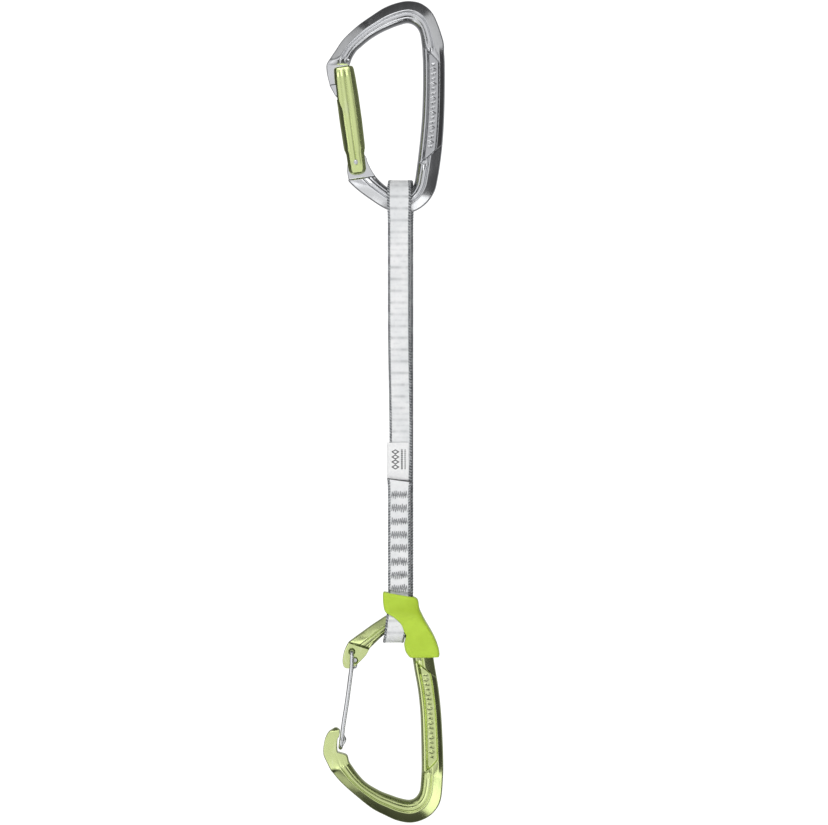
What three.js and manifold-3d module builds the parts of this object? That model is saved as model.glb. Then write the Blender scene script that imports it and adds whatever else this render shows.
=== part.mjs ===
// A climbing quickdraw: an upper forged snap link with a solid spring gate, a lower forged
// snap link with a wire gate, the sewn webbing sling between them, and the rubber keeper.
// Millimetres, +Z up. The draw hangs from its upper link. The origin is the point inside
// the upper crown where a bolt hanger bears, +X points to the links' spines, and the plane
// Y = 0 is the middle plane of both links.

import * as THREE from "three";
import { mergeVertices } from "three/addons/utils/BufferGeometryUtils.js";
import Module from "manifold-3d";

const wasm = await Module();
wasm.setup();

// ---- Driving dimensions -------------------------------------------------------------

const BAR_HALF = 4.7; // greatest half-thickness of a forged bar
const PLATE_HALF = 2.1; // half-thickness of the hinge tongues and of the key-lock neck
const NOSE_HEAD_HALF = 3.1; // half-thickness of the key-lock head
const HOOK_HALF = 3.3; // half-thickness of the wire link's hooked nose
const PANEL_DEPTH = 1.3; // depth of the recessed panel along each spine
const CLEARANCE = 0.35; // running gap between pieces that move past each other

const GATE_PIVOT = { x: -24.75, z: -66.4 };
const GATE_TILT = 7.74; // degrees that the gate leans outwards from its pivot
const GATE_TOP = 46.1; // from pivot to the gate's upper end
const GATE_HALF_DEPTH = 4.3;
const RIVET_RADIUS = 1.2;
const CAM_RADIUS = 4.0; // the tongue's radius where the plunger rests, gate closed
const CAM_RISE = 0.05; // millimetres of lift for each degree that the gate opens
const CAM_SWEEP = 30; // degrees over which the cam rises

const LOWER_CROWN = { x: 0.95, z: -369.6 }; // where the rope bears on the lower link
const WIRE_RADIUS = 1.0;
const WIRE_HOLE_RADIUS = 1.35;
const WIRE_GATE_RANGE = 28; // degrees that the wire gate opens
const FRONT_FOOT = { x: -27.6, z: -70.8 }; // in the lower link's own frame
const BACK_FOOT = { x: -26.2, z: -66.5 };

const TAPE_WIDTH = 11.0;
const TAPE_THICK = 1.8;
const TAPE_X = -3.4; // middle of the tape above the keeper
const UPPER_EYE = { z: -82.9, inner: 6.2 }; // centre and inner radius of the upper bend
const LOWER_EYE = { z: -287.2, inner: 6.0 };
const FLEX_Z = -185; // height at which the sling folds
const FLEX_GAP = 1; // half the gap left there between the two lengths of tape
const SEWN_BOTTOM = -271;
const LEAN_START = -268; // below this the tape leans towards the hinge side
const LEAN_SLOPE = 0.13;
const TACK_COUNT = 8;
const TACK_TOP = -224.2;
const TACK_PITCH = 6.35;

const COLOURS = {
  silver: { color: 0xb9bdc2, metalness: 0.9, roughness: 0.3 },
  leaf: { color: 0xb2c27a, metalness: 0.7, roughness: 0.35 },
  lime: { color: 0xc3d488, metalness: 0.7, roughness: 0.35 },
  steel: { color: 0x8f9498, metalness: 0.9, roughness: 0.35 },
  tape: { color: 0xe4e6e6, metalness: 0.0, roughness: 0.8 },
  thread: { color: 0x6a7076, metalness: 0.0, roughness: 0.8 },
  rubber: { color: 0xa9d13f, metalness: 0.0, roughness: 0.6 },
};

// ---- Closed bodies from rings of points ---------------------------------------------

function bodyFromTriangles(positions, indices) {
  const geometry = new THREE.BufferGeometry();
  geometry.setAttribute("position", new THREE.Float32BufferAttribute(positions, 3));
  geometry.setIndex(indices);
  return geometry;
}

function signedVolume(positions, indices) {
  let total = 0;
  const corner = (i) => new THREE.Vector3().fromArray(positions, indices[i] * 3);
  for (let i = 0; i < indices.length; i += 3) {
    total += corner(i).dot(corner(i + 1).cross(corner(i + 2))) / 6;
  }
  return total;
}

// Rings of equal length are skinned in order, and each end is closed by a fan.
function loft(rings) {
  const count = rings[0].length;
  const positions = rings.flat().flatMap((p) => [p.x, p.y, p.z]);
  const indices = [];
  for (let r = 0; r + 1 < rings.length; r++) {
    for (let k = 0; k < count; k++) {
      const a = r * count + k;
      const b = r * count + ((k + 1) % count);
      indices.push(a, b, b + count, a, b + count, a + count);
    }
  }
  for (const [ring, first, way] of [
    [rings[0], 0, -1],
    [rings.at(-1), (rings.length - 1) * count, 1],
  ]) {
    const centre = positions.length / 3;
    const middle = ring.reduce((sum, p) => sum.add(p), new THREE.Vector3());
    middle.divideScalar(count);
    positions.push(middle.x, middle.y, middle.z);
    for (let k = 0; k < count; k++) {
      const a = first + k;
      const b = first + ((k + 1) % count);
      indices.push(centre, way > 0 ? a : b, way > 0 ? b : a);
    }
  }
  if (signedVolume(positions, indices) < 0) {
    for (let i = 0; i < indices.length; i += 3) {
      [indices[i + 1], indices[i + 2]] = [indices[i + 2], indices[i + 1]];
    }
  }
  return bodyFromTriangles(positions, indices);
}

// ---- Joining and cutting ------------------------------------------------------------

function toSolid(geometry) {
  const bare = geometry.clone();
  bare.deleteAttribute("normal");
  bare.deleteAttribute("uv");
  const merged = mergeVertices(bare, 1e-4);
  return new wasm.Manifold(
    new wasm.Mesh({
      numProp: 3,
      vertProperties: merged.getAttribute("position").array,
      triVerts: Uint32Array.from(merged.index.array),
    }),
  );
}

function toGeometry(solid) {
  const mesh = solid.getMesh();
  return bodyFromTriangles(Array.from(mesh.vertProperties), Array.from(mesh.triVerts));
}

function cut(geometry, tools) {
  return toGeometry(tools.reduce((rest, tool) => rest.subtract(toSolid(tool)), toSolid(geometry)));
}

// ---- Shared shapes ------------------------------------------------------------------

// A plate whose outline is given in x and z, centred on the plane Y = 0.
function plate(outline, halfThickness) {
  const shape = new THREE.Shape(outline.map(([x, z]) => new THREE.Vector2(x, z)));
  const options = { depth: 2 * halfThickness, bevelEnabled: false };
  const geometry = new THREE.ExtrudeGeometry(shape, options);
  geometry.translate(0, 0, -halfThickness);
  geometry.rotateX(Math.PI / 2);
  return geometry;
}

function crossPin(radius, length, sides = 16) {
  return new THREE.CylinderGeometry(radius, radius, length, sides);
}

// Uniform Catmull-Rom curve through a list of numbers, with f between item i and i + 1.
function through(values, i, f) {
  const at = (k) => values[THREE.MathUtils.clamp(k, 0, values.length - 1)];
  const [a, b, c, d] = [at(i - 1), at(i), at(i + 1), at(i + 2)];
  const cubic = (3 * (b - c) + d - a) * f ** 3;
  const square = (2 * a - 5 * b + 4 * c - d) * f ** 2;
  return b + (cubic + square + (c - a) * f) / 2;
}

// ---- Forged link bodies -------------------------------------------------------------

// A body is a row of cuts from the nose to the hinge. Each cut names its point on the
// inner outline, its point on the outer outline, its half-thickness, how far its section
// is forged (0 a flat plate, 1 the full rounded bar), and how much of the spine's
// recessed panel it shows.
const UPPER_CUTS = [
  // key-lock head and neck
  { inner: [-32.0, -35.2], outer: [-33.4, -35.3], half: 2.2, forged: 0, panel: 0 },
  { inner: [-31.0, -34.3], outer: [-34.6, -34.3], half: NOSE_HEAD_HALF, forged: 0, panel: 0 },
  { inner: [-30.4, -29.1], outer: [-37.0, -30.0], half: NOSE_HEAD_HALF, forged: 0, panel: 0 },
  { inner: [-30.3, -28.5], outer: [-37.2, -29.4], half: PLATE_HALF, forged: 0, panel: 0 },
  { inner: [-29.4, -23.6], outer: [-38.4, -24.4], half: PLATE_HALF, forged: 0, panel: 0 },
  { inner: [-28.0, -20.2], outer: [-38.7, -20.3], half: PLATE_HALF, forged: 0, panel: 0 },
  // nose shoulder
  { inner: [-26.2, -15.9], outer: [-36.9, -16.6], half: 3.9, forged: 0.5, panel: 0 },
  { inner: [-24.6, -13.4], outer: [-34.3, -12.6], half: 4.3, forged: 0.9, panel: 0 },
  // crown
  { inner: [-22.6, -11.5], outer: [-30.6, -7.4], half: 4.5, forged: 1, panel: 0 },
  { inner: [-18.1, -7.8], outer: [-24.0, -1.2], half: BAR_HALF, forged: 1, panel: 0 },
  { inner: [-13.3, -4.8], outer: [-17.6, 3.4], half: BAR_HALF, forged: 1, panel: 0 },
  { inner: [-8.6, -2.6], outer: [-11.3, 7.4], half: BAR_HALF, forged: 1, panel: 0 },
  { inner: [-3.8, -0.8], outer: [-5.0, 9.8], half: BAR_HALF, forged: 1, panel: 0 },
  { inner: [0.0, 0.0], outer: [0.9, 10.6], half: BAR_HALF, forged: 1, panel: 0 },
  { inner: [3.3, -1.3], outer: [7.0, 9.1], half: BAR_HALF, forged: 1, panel: 0 },
  { inner: [5.6, -4.6], outer: [12.4, 3.8], half: BAR_HALF, forged: 1, panel: 0 },
  { inner: [6.5, -9.2], outer: [16.0, -4.3], half: BAR_HALF, forged: 1, panel: 0 },
  // spine
  { inner: [6.9, -15.0], outer: [17.3, -14.0], half: 4.6, forged: 1, panel: 0.3 },
  { inner: [7.1, -20.0], outer: [17.6, -20.0], half: 4.6, forged: 1, panel: 1 },
  { inner: [7.1, -32.0], outer: [17.6, -32.0], half: 4.6, forged: 1, panel: 1 },
  { inner: [6.7, -44.0], outer: [17.3, -44.5], half: 4.6, forged: 1, panel: 1 },
  { inner: [5.9, -54.0], outer: [16.7, -55.0], half: 4.6, forged: 1, panel: 1 },
  { inner: [4.9, -63.0], outer: [15.7, -64.5], half: 4.6, forged: 1, panel: 0.6 },
  { inner: [3.9, -71.0], outer: [14.3, -73.5], half: BAR_HALF, forged: 1, panel: 0 },
  // basket
  { inner: [2.9, -76.6], outer: [12.6, -80.2], half: BAR_HALF, forged: 1, panel: 0 },
  { inner: [1.0, -80.2], outer: [8.6, -85.9], half: BAR_HALF, forged: 1, panel: 0 },
  { inner: [-1.8, -81.7], outer: [2.6, -89.7], half: BAR_HALF, forged: 1, panel: 0 },
  { inner: [-5.0, -81.1], outer: [-4.4, -90.5], half: BAR_HALF, forged: 1, panel: 0 },
  { inner: [-8.4, -79.0], outer: [-11.3, -88.0], half: BAR_HALF, forged: 1, panel: 0 },
  { inner: [-11.8, -76.4], outer: [-17.5, -84.1], half: 4.6, forged: 1, panel: 0 },
  { inner: [-14.0, -74.4], outer: [-23.6, -79.6], half: 4.3, forged: 0.8, panel: 0 },
  // hinge shoulder and tongue
  { inner: [-15.2, -73.1], outer: [-28.0, -75.4], half: 3.6, forged: 0.4, panel: 0 },
  { inner: [-15.6, -72.6], outer: [-28.2, -74.4], half: PLATE_HALF, forged: 0, panel: 0 },
  { inner: [-17.6, -69.4], outer: [-28.8, -71.0], half: PLATE_HALF, forged: 0, panel: 0 },
];

// The lower link is drawn in its own frame, turned over: crown up, gate to the left.
const LOWER_CUTS = [
  // hooked nose, with the catch that the wire closes into
  { inner: [-34.7, -34.4], outer: [-35.8, -34.4], half: 2.2, forged: 0, panel: 0 },
  { inner: [-33.4, -33.2], outer: [-38.6, -32.5], half: HOOK_HALF, forged: 0, panel: 0 },
  { inner: [-33.6, -30.6], outer: [-40.1, -29.9], half: HOOK_HALF, forged: 0, panel: 0 },
  { inner: [-34.5, -28.6], outer: [-40.8, -27.4], half: HOOK_HALF, forged: 0, panel: 0 },
  { inner: [-34.5, -23.4], outer: [-41.2, -24.2], half: HOOK_HALF, forged: 0, panel: 0 },
  { inner: [-33.2, -22.6], outer: [-41.1, -22.6], half: HOOK_HALF, forged: 0, panel: 0 },
  { inner: [-30.0, -21.4], outer: [-40.7, -20.8], half: HOOK_HALF, forged: 0, panel: 0 },
  { inner: [-28.6, -18.0], outer: [-39.2, -17.0], half: 3.6, forged: 0.1, panel: 0 },
  { inner: [-26.7, -14.7], outer: [-36.6, -12.9], half: 4.2, forged: 0.7, panel: 0 },
  // crown
  { inner: [-24.4, -12.0], outer: [-32.6, -8.2], half: 4.5, forged: 1, panel: 0 },
  { inner: [-20.4, -8.0], outer: [-26.6, -2.8], half: BAR_HALF, forged: 1, panel: 0 },
  { inner: [-14.3, -4.4], outer: [-18.5, 3.7], half: BAR_HALF, forged: 1, panel: 0 },
  { inner: [-9.5, -2.5], outer: [-12.0, 7.2], half: BAR_HALF, forged: 1, panel: 0 },
  { inner: [-4.8, -0.9], outer: [-6.0, 9.8], half: BAR_HALF, forged: 1, panel: 0 },
  { inner: [-0.4, -0.1], outer: [0.3, 10.8], half: BAR_HALF, forged: 1, panel: 0 },
  { inner: [2.6, -1.2], outer: [6.2, 9.4], half: BAR_HALF, forged: 1, panel: 0 },
  { inner: [4.6, -4.2], outer: [11.2, 6.0], half: BAR_HALF, forged: 1, panel: 0 },
  { inner: [5.2, -8.8], outer: [14.7, 0.0], half: BAR_HALF, forged: 1, panel: 0 },
  // spine
  { inner: [5.5, -14.0], outer: [15.8, -11.0], half: 4.6, forged: 1, panel: 0.3 },
  { inner: [5.5, -20.0], outer: [15.9, -19.5], half: 4.6, forged: 1, panel: 1 },
  { inner: [5.3, -31.0], outer: [15.5, -31.0], half: 4.6, forged: 1, panel: 1 },
  { inner: [4.9, -42.0], outer: [14.8, -42.5], half: 4.6, forged: 1, panel: 1 },
  { inner: [3.8, -52.5], outer: [13.6, -53.5], half: 4.6, forged: 1, panel: 1 },
  { inner: [2.2, -61.5], outer: [12.0, -63.0], half: 4.6, forged: 1, panel: 0.5 },
  { inner: [1.2, -67.5], outer: [10.8, -70.0], half: BAR_HALF, forged: 1, panel: 0 },
  // basket
  { inner: [0.0, -72.3], outer: [8.8, -77.0], half: BAR_HALF, forged: 1, panel: 0 },
  { inner: [-2.1, -77.0], outer: [4.8, -84.2], half: BAR_HALF, forged: 1, panel: 0 },
  { inner: [-5.2, -79.8], outer: [-1.4, -88.6], half: BAR_HALF, forged: 1, panel: 0 },
  { inner: [-9.0, -80.2], outer: [-8.6, -89.0], half: BAR_HALF, forged: 1, panel: 0 },
  { inner: [-12.4, -78.5], outer: [-15.6, -85.1], half: 4.6, forged: 1, panel: 0 },
  { inner: [-15.8, -75.4], outer: [-22.0, -80.6], half: 4.4, forged: 0.9, panel: 0 },
  // hinge shoulder and tongue
  { inner: [-18.8, -72.6], outer: [-28.2, -76.0], half: 3.6, forged: 0.4, panel: 0 },
  { inner: [-19.4, -71.6], outer: [-29.4, -74.8], half: PLATE_HALF, forged: 0, panel: 0 },
  { inner: [-21.0, -68.9], outer: [-31.2, -71.0], half: PLATE_HALF, forged: 0, panel: 0 },
  { inner: [-23.5, -66.2], outer: [-32.0, -66.6], half: PLATE_HALF, forged: 0, panel: 0 },
  { inner: [-25.7, -64.2], outer: [-31.4, -63.6], half: PLATE_HALF, forged: 0, panel: 0 },
  { inner: [-27.4, -63.0], outer: [-29.8, -62.7], half: PLATE_HALF, forged: 0, panel: 0 },
];

const RIDGE = 0.45; // where the bar is thickest, from its inner edge
const PANEL_FROM = 0.26;
const PANEL_TO = 0.79;
const ACROSS = [0, 0.06, 0.16, PANEL_FROM, 0.32, RIDGE, 0.6, 0.73, PANEL_TO, 0.92, 1];

// Half-thickness of a section at t, from 0 at the inner edge to 1 at the outer edge.
function halfThickness(cutHere, t) {
  const edge = t < RIDGE ? 0.2 : 0.34;
  const away = t < RIDGE ? (RIDGE - t) / RIDGE : (t - RIDGE) / (1 - RIDGE);
  const bar = edge + (1 - edge) * (t < RIDGE ? Math.sqrt(1 - away ** 2) : 1 - away ** 1.7);
  const flat = t === 0 || t === 1 ? 0.8 : 1;
  const solid = cutHere.half * THREE.MathUtils.lerp(flat, bar, cutHere.forged);
  const inPanel = t > PANEL_FROM && t < PANEL_TO ? cutHere.panel : 0;
  return THREE.MathUtils.lerp(solid, Math.min(solid, cutHere.half - PANEL_DEPTH), inPanel);
}

function blendCuts(cuts, i, f) {
  const pick = (side, axis) => through(cuts.map((c) => c[side][axis]), i, f);
  const next = cuts[Math.min(i + 1, cuts.length - 1)];
  const mix = (key) => THREE.MathUtils.lerp(cuts[i][key], next[key], f);
  return {
    inner: [pick("inner", 0), pick("inner", 1)],
    outer: [pick("outer", 0), pick("outer", 1)],
    half: mix("half"),
    forged: mix("forged"),
    panel: mix("panel"),
  };
}

// The ring of one section; grow fattens it all round.
function sectionRing(cutHere, grow) {
  const inner = new THREE.Vector2(...cutHere.inner);
  const outer = new THREE.Vector2(...cutHere.outer);
  const along = outer.clone().sub(inner).normalize().multiplyScalar(grow);
  inner.sub(along);
  outer.add(along);
  const side = (t, way) => {
    const p = inner.clone().lerp(outer, t);
    return new THREE.Vector3(p.x, way * (halfThickness(cutHere, t) + grow), p.y);
  };
  const front = ACROSS.map((t) => side(t, -1));
  const back = ACROSS.toReversed().map((t) => side(t, 1));
  return [...front, ...back];
}

function forgedBody(cuts, stepsBetween, grow = 0) {
  const rings = [];
  for (let i = 0; i + 1 < cuts.length; i++) {
    for (let step = 0; step < stepsBetween; step++) {
      rings.push(sectionRing(blendCuts(cuts, i, step / stepsBetween), grow));
    }
  }
  rings.push(sectionRing(cuts.at(-1), grow));
  return loft(rings);
}

// The end of the upper tongue: a cam round the gate's pivot. Its radius is constant on the
// outer side and rises on the inner side, so that opening the gate lifts the plunger.
function camRadius(angle) {
  return CAM_RADIUS + CAM_RISE * THREE.MathUtils.clamp(angle, 0, CAM_SWEEP);
}

function camPoint(angle) {
  const bearing = THREE.MathUtils.degToRad(angle - GATE_TILT);
  const radius = camRadius(angle);
  return [GATE_PIVOT.x + radius * Math.sin(bearing), GATE_PIVOT.z + radius * Math.cos(bearing)];
}

function camCuts() {
  const openings = [92, 75, 60, 45, 30, 15, 4];
  return openings.map((angle) => ({
    inner: camPoint(angle),
    outer: camPoint(-angle),
    half: PLATE_HALF,
    forged: 0,
    panel: 0,
  }));
}

function upperBody() {
  const body = forgedBody([...UPPER_CUTS, ...camCuts()], 2);
  const hole = crossPin(RIVET_RADIUS + CLEARANCE, 4 * PLATE_HALF);
  hole.translate(GATE_PIVOT.x, 0, GATE_PIVOT.z);
  return cut(body, [hole]);
}

// A foot of the wire swings a little round the gate's axis, which lies midway between the
// two feet, so each hole is drawn out along that short arc.
function footSlot(foot) {
  const axis = wireAxis();
  const radius = Math.hypot(foot.x - axis.x, foot.z - axis.z);
  const start = Math.atan2(foot.x - axis.x, foot.z - axis.z);
  const sweep = THREE.MathUtils.degToRad(WIRE_GATE_RANGE);
  const roundEnd = (bearing, firstSide) => {
    const x = axis.x + radius * Math.sin(bearing);
    const z = axis.z + radius * Math.cos(bearing);
    return Array.from({ length: 7 }, (_, k) => {
      const a = firstSide + (Math.PI * k) / 6;
      return [x + WIRE_HOLE_RADIUS * Math.sin(a), z + WIRE_HOLE_RADIUS * Math.cos(a)];
    });
  };
  const ends = [roundEnd(start, start - Math.PI), roundEnd(start + sweep, start + sweep)];
  return plate(ends.flat(), 2 * PLATE_HALF);
}

function wireAxis() {
  return { x: (FRONT_FOOT.x + BACK_FOOT.x) / 2, z: (FRONT_FOOT.z + BACK_FOOT.z) / 2 };
}

function lowerBody() {
  return cut(forgedBody(LOWER_CUTS, 2), [footSlot(FRONT_FOOT), footSlot(BACK_FOOT)]);
}

// ---- Upper gate, in its own frame: origin on the pivot, +Z towards the nose ----------

const GATE_SECTIONS = [
  // distance from the pivot, half-width, half-depth
  [-5.8, 1.4, 3.9],
  [-5.3, 2.6, GATE_HALF_DEPTH],
  [-4.1, 3.9, GATE_HALF_DEPTH],
  [4.5, 4.15, GATE_HALF_DEPTH],
  [5.2, 5.05, GATE_HALF_DEPTH],
  [20, 5.3, GATE_HALF_DEPTH],
  [32, 5.25, GATE_HALF_DEPTH],
  [41, 4.95, GATE_HALF_DEPTH],
  [45.2, 4.6, 4.1],
  [GATE_TOP, 3.8, 3.3],
];
const GATE_SIDES = 24;
const SQUARENESS = 0.78; // 1 is an ellipse, less is a squarer section

function gateRing([height, halfWidth, halfDepth]) {
  const soften = (v) => Math.sign(v) * Math.abs(v) ** SQUARENESS;
  return Array.from({ length: GATE_SIDES }, (_, k) => {
    const angle = (2 * Math.PI * (k + 0.5)) / GATE_SIDES;
    const x = halfWidth * soften(Math.cos(angle));
    const y = halfDepth * soften(Math.sin(angle));
    return new THREE.Vector3(x, y, height);
  });
}

const BORE_RADIUS = 2.0;
const BORE_TOP = 24;
const HINGE_SLOT_TOP = 6.3;

function upperGate() {
  const bar = loft(GATE_SECTIONS.map(gateRing));
  const neckHalf = PLATE_HALF + CLEARANCE;
  const headHalf = NOSE_HEAD_HALF + CLEARANCE;
  const hingeSlot = plate(
    [[-9, -9], [9, -9], [9, HINGE_SLOT_TOP], [-9, HINGE_SLOT_TOP]],
    neckHalf,
  );
  const neckSlot = plate(
    [[-9, 48], [3.6, 48], [3.2, 44], [1.2, 39.5], [-1.2, 31.3], [-9, 29.9]],
    neckHalf,
  );
  const headPocket = plate([[-9, 38.2], [0.4, 38.2], [-1.0, 31.3], [-9, 29.9]], headHalf);
  const bore = new THREE.CylinderGeometry(BORE_RADIUS, BORE_RADIUS, BORE_TOP, 16);
  bore.rotateX(Math.PI / 2);
  bore.translate(0, 0, BORE_TOP / 2);
  const rivetHole = crossPin(RIVET_RADIUS + 0.12, 4 * GATE_HALF_DEPTH);
  return cut(bar, [hingeSlot, neckSlot, headPocket, bore, rivetHole]);
}

function upperGateRivet() {
  const head = GATE_HALF_DEPTH + 0.25;
  const profile = [
    [0, -head],
    [0.8, -head],
    [RIVET_RADIUS, -head + 0.4],
    [RIVET_RADIUS, head - 0.4],
    [0.8, head],
    [0, head],
  ];
  return new THREE.LatheGeometry(profile.map(([r, y]) => new THREE.Vector2(r, y)), 16);
}

const PLUNGER_RADIUS = 1.55;
const PLUNGER_TIP = CAM_RADIUS + CLEARANCE;
const PLUNGER_SHOULDER = 10.2;
const PLUNGER_TOP = 13.5;
const STEM_RADIUS = 0.75;

function upperGatePlunger() {
  const profile = [new THREE.Vector2(0, PLUNGER_TIP)];
  for (const angle of [30, 60, 90]) {
    const turn = THREE.MathUtils.degToRad(angle);
    const height = PLUNGER_TIP + PLUNGER_RADIUS * (1 - Math.cos(turn));
    profile.push(new THREE.Vector2(PLUNGER_RADIUS * Math.sin(turn), height));
  }
  profile.push(new THREE.Vector2(PLUNGER_RADIUS, PLUNGER_SHOULDER));
  profile.push(new THREE.Vector2(STEM_RADIUS, PLUNGER_SHOULDER));
  profile.push(new THREE.Vector2(STEM_RADIUS, PLUNGER_TOP));
  profile.push(new THREE.Vector2(0, PLUNGER_TOP));
  return new THREE.LatheGeometry(profile, 14).rotateX(Math.PI / 2);
}

class Helix extends THREE.Curve {
  constructor(radius, bottom, top, turns) {
    super();
    Object.assign(this, { radius, bottom, top, turns });
  }

  getPoint(f, target = new THREE.Vector3()) {
    const angle = 2 * Math.PI * this.turns * f;
    const height = this.bottom + (this.top - this.bottom) * f;
    return target.set(this.radius * Math.cos(angle), this.radius * Math.sin(angle), height);
  }
}

const SPRING_WIRE = 0.22;
const SPRING_RADIUS = 1.3;
const SPRING_TURNS = 7;

function tubeAlong(curve, radius, sides, steps) {
  const section = Array.from({ length: sides }, (_, k) => {
    const angle = (2 * Math.PI * k) / sides;
    return new THREE.Vector2(radius * Math.cos(angle), radius * Math.sin(angle));
  });
  return new THREE.ExtrudeGeometry(new THREE.Shape(section), { steps, extrudePath: curve });
}

function upperGateSpring() {
  const bottom = PLUNGER_SHOULDER + SPRING_WIRE + 0.15;
  const top = BORE_TOP - SPRING_WIRE - 0.3;
  const coil = new Helix(SPRING_RADIUS, bottom, top, SPRING_TURNS);
  return tubeAlong(coil, SPRING_WIRE, 5, 10 * SPRING_TURNS);
}

// ---- Wire gate, in the lower link's frame -------------------------------------------

const WIRE_SPREAD_HINGE = PLATE_HALF + CLEARANCE + WIRE_RADIUS; // leg's distance from Y = 0
const WIRE_SPREAD_NOSE = 2.1;
// Where both legs run, from the hinge to the loop that closes into the nose.
const WIRE_LEG = [
  [-27.8, -61.8],
  [-29.7, -47.5],
  [-31.2, -38.0],
  [-32.0, -31.0],
];
const WIRE_LOOP = [-32.5, -24.9];

function lowerWireGate() {
  const legSide = (foot, way) => {
    const spread = (k) => {
      const share = k / (WIRE_LEG.length - 1);
      return way * THREE.MathUtils.lerp(WIRE_SPREAD_HINGE, WIRE_SPREAD_NOSE, share);
    };
    return [
      new THREE.Vector3(foot.x, way * 0.5, foot.z),
      new THREE.Vector3(foot.x, way * (PLATE_HALF + 0.2), foot.z),
      new THREE.Vector3(foot.x, way * WIRE_SPREAD_HINGE, foot.z + 1.3),
      new THREE.Vector3(foot.x, way * WIRE_SPREAD_HINGE, foot.z + 3.2),
      ...WIRE_LEG.map(([x, z], k) => new THREE.Vector3(x, spread(k), z)),
      new THREE.Vector3(-32.3, way * 1.6, -26.4),
    ];
  };
  const front = legSide(FRONT_FOOT, 1);
  const back = legSide(BACK_FOOT, -1);
  const loop = new THREE.Vector3(WIRE_LOOP[0], 0, WIRE_LOOP[1]);
  const route = new THREE.CatmullRomCurve3([...front, loop, ...back.toReversed()]);
  return tubeAlong(route, WIRE_RADIUS, 8, 70);
}

// ---- Sling --------------------------------------------------------------------------

function tapeMiddle(z) {
  return TAPE_X + Math.min(0, z - LEAN_START) * LEAN_SLOPE;
}

// A length of tape that follows a route given in y and z.
function tapeStrip(route, thickness, width) {
  const rings = route.map(([y, z], k) => {
    const before = route[Math.max(k - 1, 0)];
    const after = route[Math.min(k + 1, route.length - 1)];
    const run = new THREE.Vector2(after[0] - before[0], after[1] - before[1]).normalize();
    const middle = tapeMiddle(z);
    const corner = (across, through) =>
      new THREE.Vector3(
        middle + (across * width) / 2,
        y - (through * run.y * thickness) / 2,
        z + (through * run.x * thickness) / 2,
      );
    return [corner(-1, -1), corner(1, -1), corner(1, 1), corner(-1, 1)];
  });
  return loft(rings);
}

// Half a turn round an eye, over its top (way 1) or under its bottom (way -1).
function bend(eye, way) {
  const radius = eye.inner + TAPE_THICK / 2;
  const points = [];
  for (let angle = 0; angle <= 180; angle += 20) {
    const turn = THREE.MathUtils.degToRad(angle);
    points.push([-radius * Math.cos(turn), eye.z + way * radius * Math.sin(turn)]);
  }
  return points;
}

const LEG_Y = 0.2 + TAPE_THICK / 2; // the two legs lie against each other where they are sewn

function slingTapeUpper() {
  const low = FLEX_Z + FLEX_GAP;
  return tapeStrip([[-LEG_Y, low], ...bend(UPPER_EYE, 1), [LEG_Y, low]], TAPE_THICK, TAPE_WIDTH);
}

function slingTapeLower() {
  const high = FLEX_Z - FLEX_GAP;
  const shoulder = LOWER_EYE.inner + TAPE_THICK / 2;
  const front = [
    [-LEG_Y, high],
    [-LEG_Y, LEAN_START],
    [-LEG_Y, SEWN_BOTTOM],
    [-shoulder, LOWER_EYE.z + 4],
  ];
  const back = front.map(([y, z]) => [-y, z]).toReversed();
  return tapeStrip([...front, ...bend(LOWER_EYE, -1), ...back], TAPE_THICK, TAPE_WIDTH);
}

const TAPE_FRONT = LEG_Y + TAPE_THICK / 2; // front surface of the front leg, as -Y
const TAPE_END_TOP = -217.6;
const LABEL_TOP = -199.5;
const LABEL_RIGHT = 0.1;
const LABEL_THICK = 0.4;
const SKIN_GAP = 0.1; // between layers that are sewn together

function slingTapeEnd() {
  const y = -(TAPE_FRONT + SKIN_GAP + TAPE_THICK / 2);
  return tapeStrip([[y, TAPE_END_TOP], [y, SEWN_BOTTOM + 0.5]], TAPE_THICK, TAPE_WIDTH);
}

// The label is folded round the tape's outer edge and lies on both faces.
function slingLabel() {
  const inside = TAPE_FRONT + SKIN_GAP;
  const outside = inside + LABEL_THICK;
  const foldInside = TAPE_X - TAPE_WIDTH / 2 - SKIN_GAP;
  const foldOutside = foldInside - LABEL_THICK;
  const outline = [
    [LABEL_RIGHT, -outside],
    [LABEL_RIGHT, -inside],
    [foldInside, -inside],
    [foldInside, inside],
    [LABEL_RIGHT, inside],
    [LABEL_RIGHT, outside],
    [foldOutside, outside],
    [foldOutside, -outside],
  ];
  const shape = new THREE.Shape(outline.map(([x, y]) => new THREE.Vector2(x, y)));
  const bottom = TAPE_END_TOP + 0.4;
  const options = { depth: LABEL_TOP - bottom, bevelEnabled: false };
  return new THREE.ExtrudeGeometry(shape, options).translate(0, 0, bottom);
}

const TACK_WIDTH = 7.8;
const TACK_PEAKS = 7;
const TACK_RISE = 1.1; // from the middle of a row to its peaks
const THREAD_BAND = 0.5; // half the height of the thread's zigzag band
const THREAD_THICK = 0.4;

function barTack() {
  const points = [];
  for (let k = 0; k <= 2 * TACK_PEAKS; k++) {
    const x = -TACK_WIDTH / 2 + (TACK_WIDTH * k) / (2 * TACK_PEAKS);
    points.push([x, k % 2 ? TACK_RISE : -TACK_RISE]);
  }
  const upper = points.map(([x, z]) => [x, z + THREAD_BAND]);
  const lower = points.map(([x, z]) => [x, z - THREAD_BAND]).toReversed();
  return plate([...upper, ...lower], THREAD_THICK / 2);
}

// ---- Keeper -------------------------------------------------------------------------

const KEEPER_SLEEVE_HALF = 9.0;
const KEEPER_SPINE_HALF = 6.4;
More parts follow.
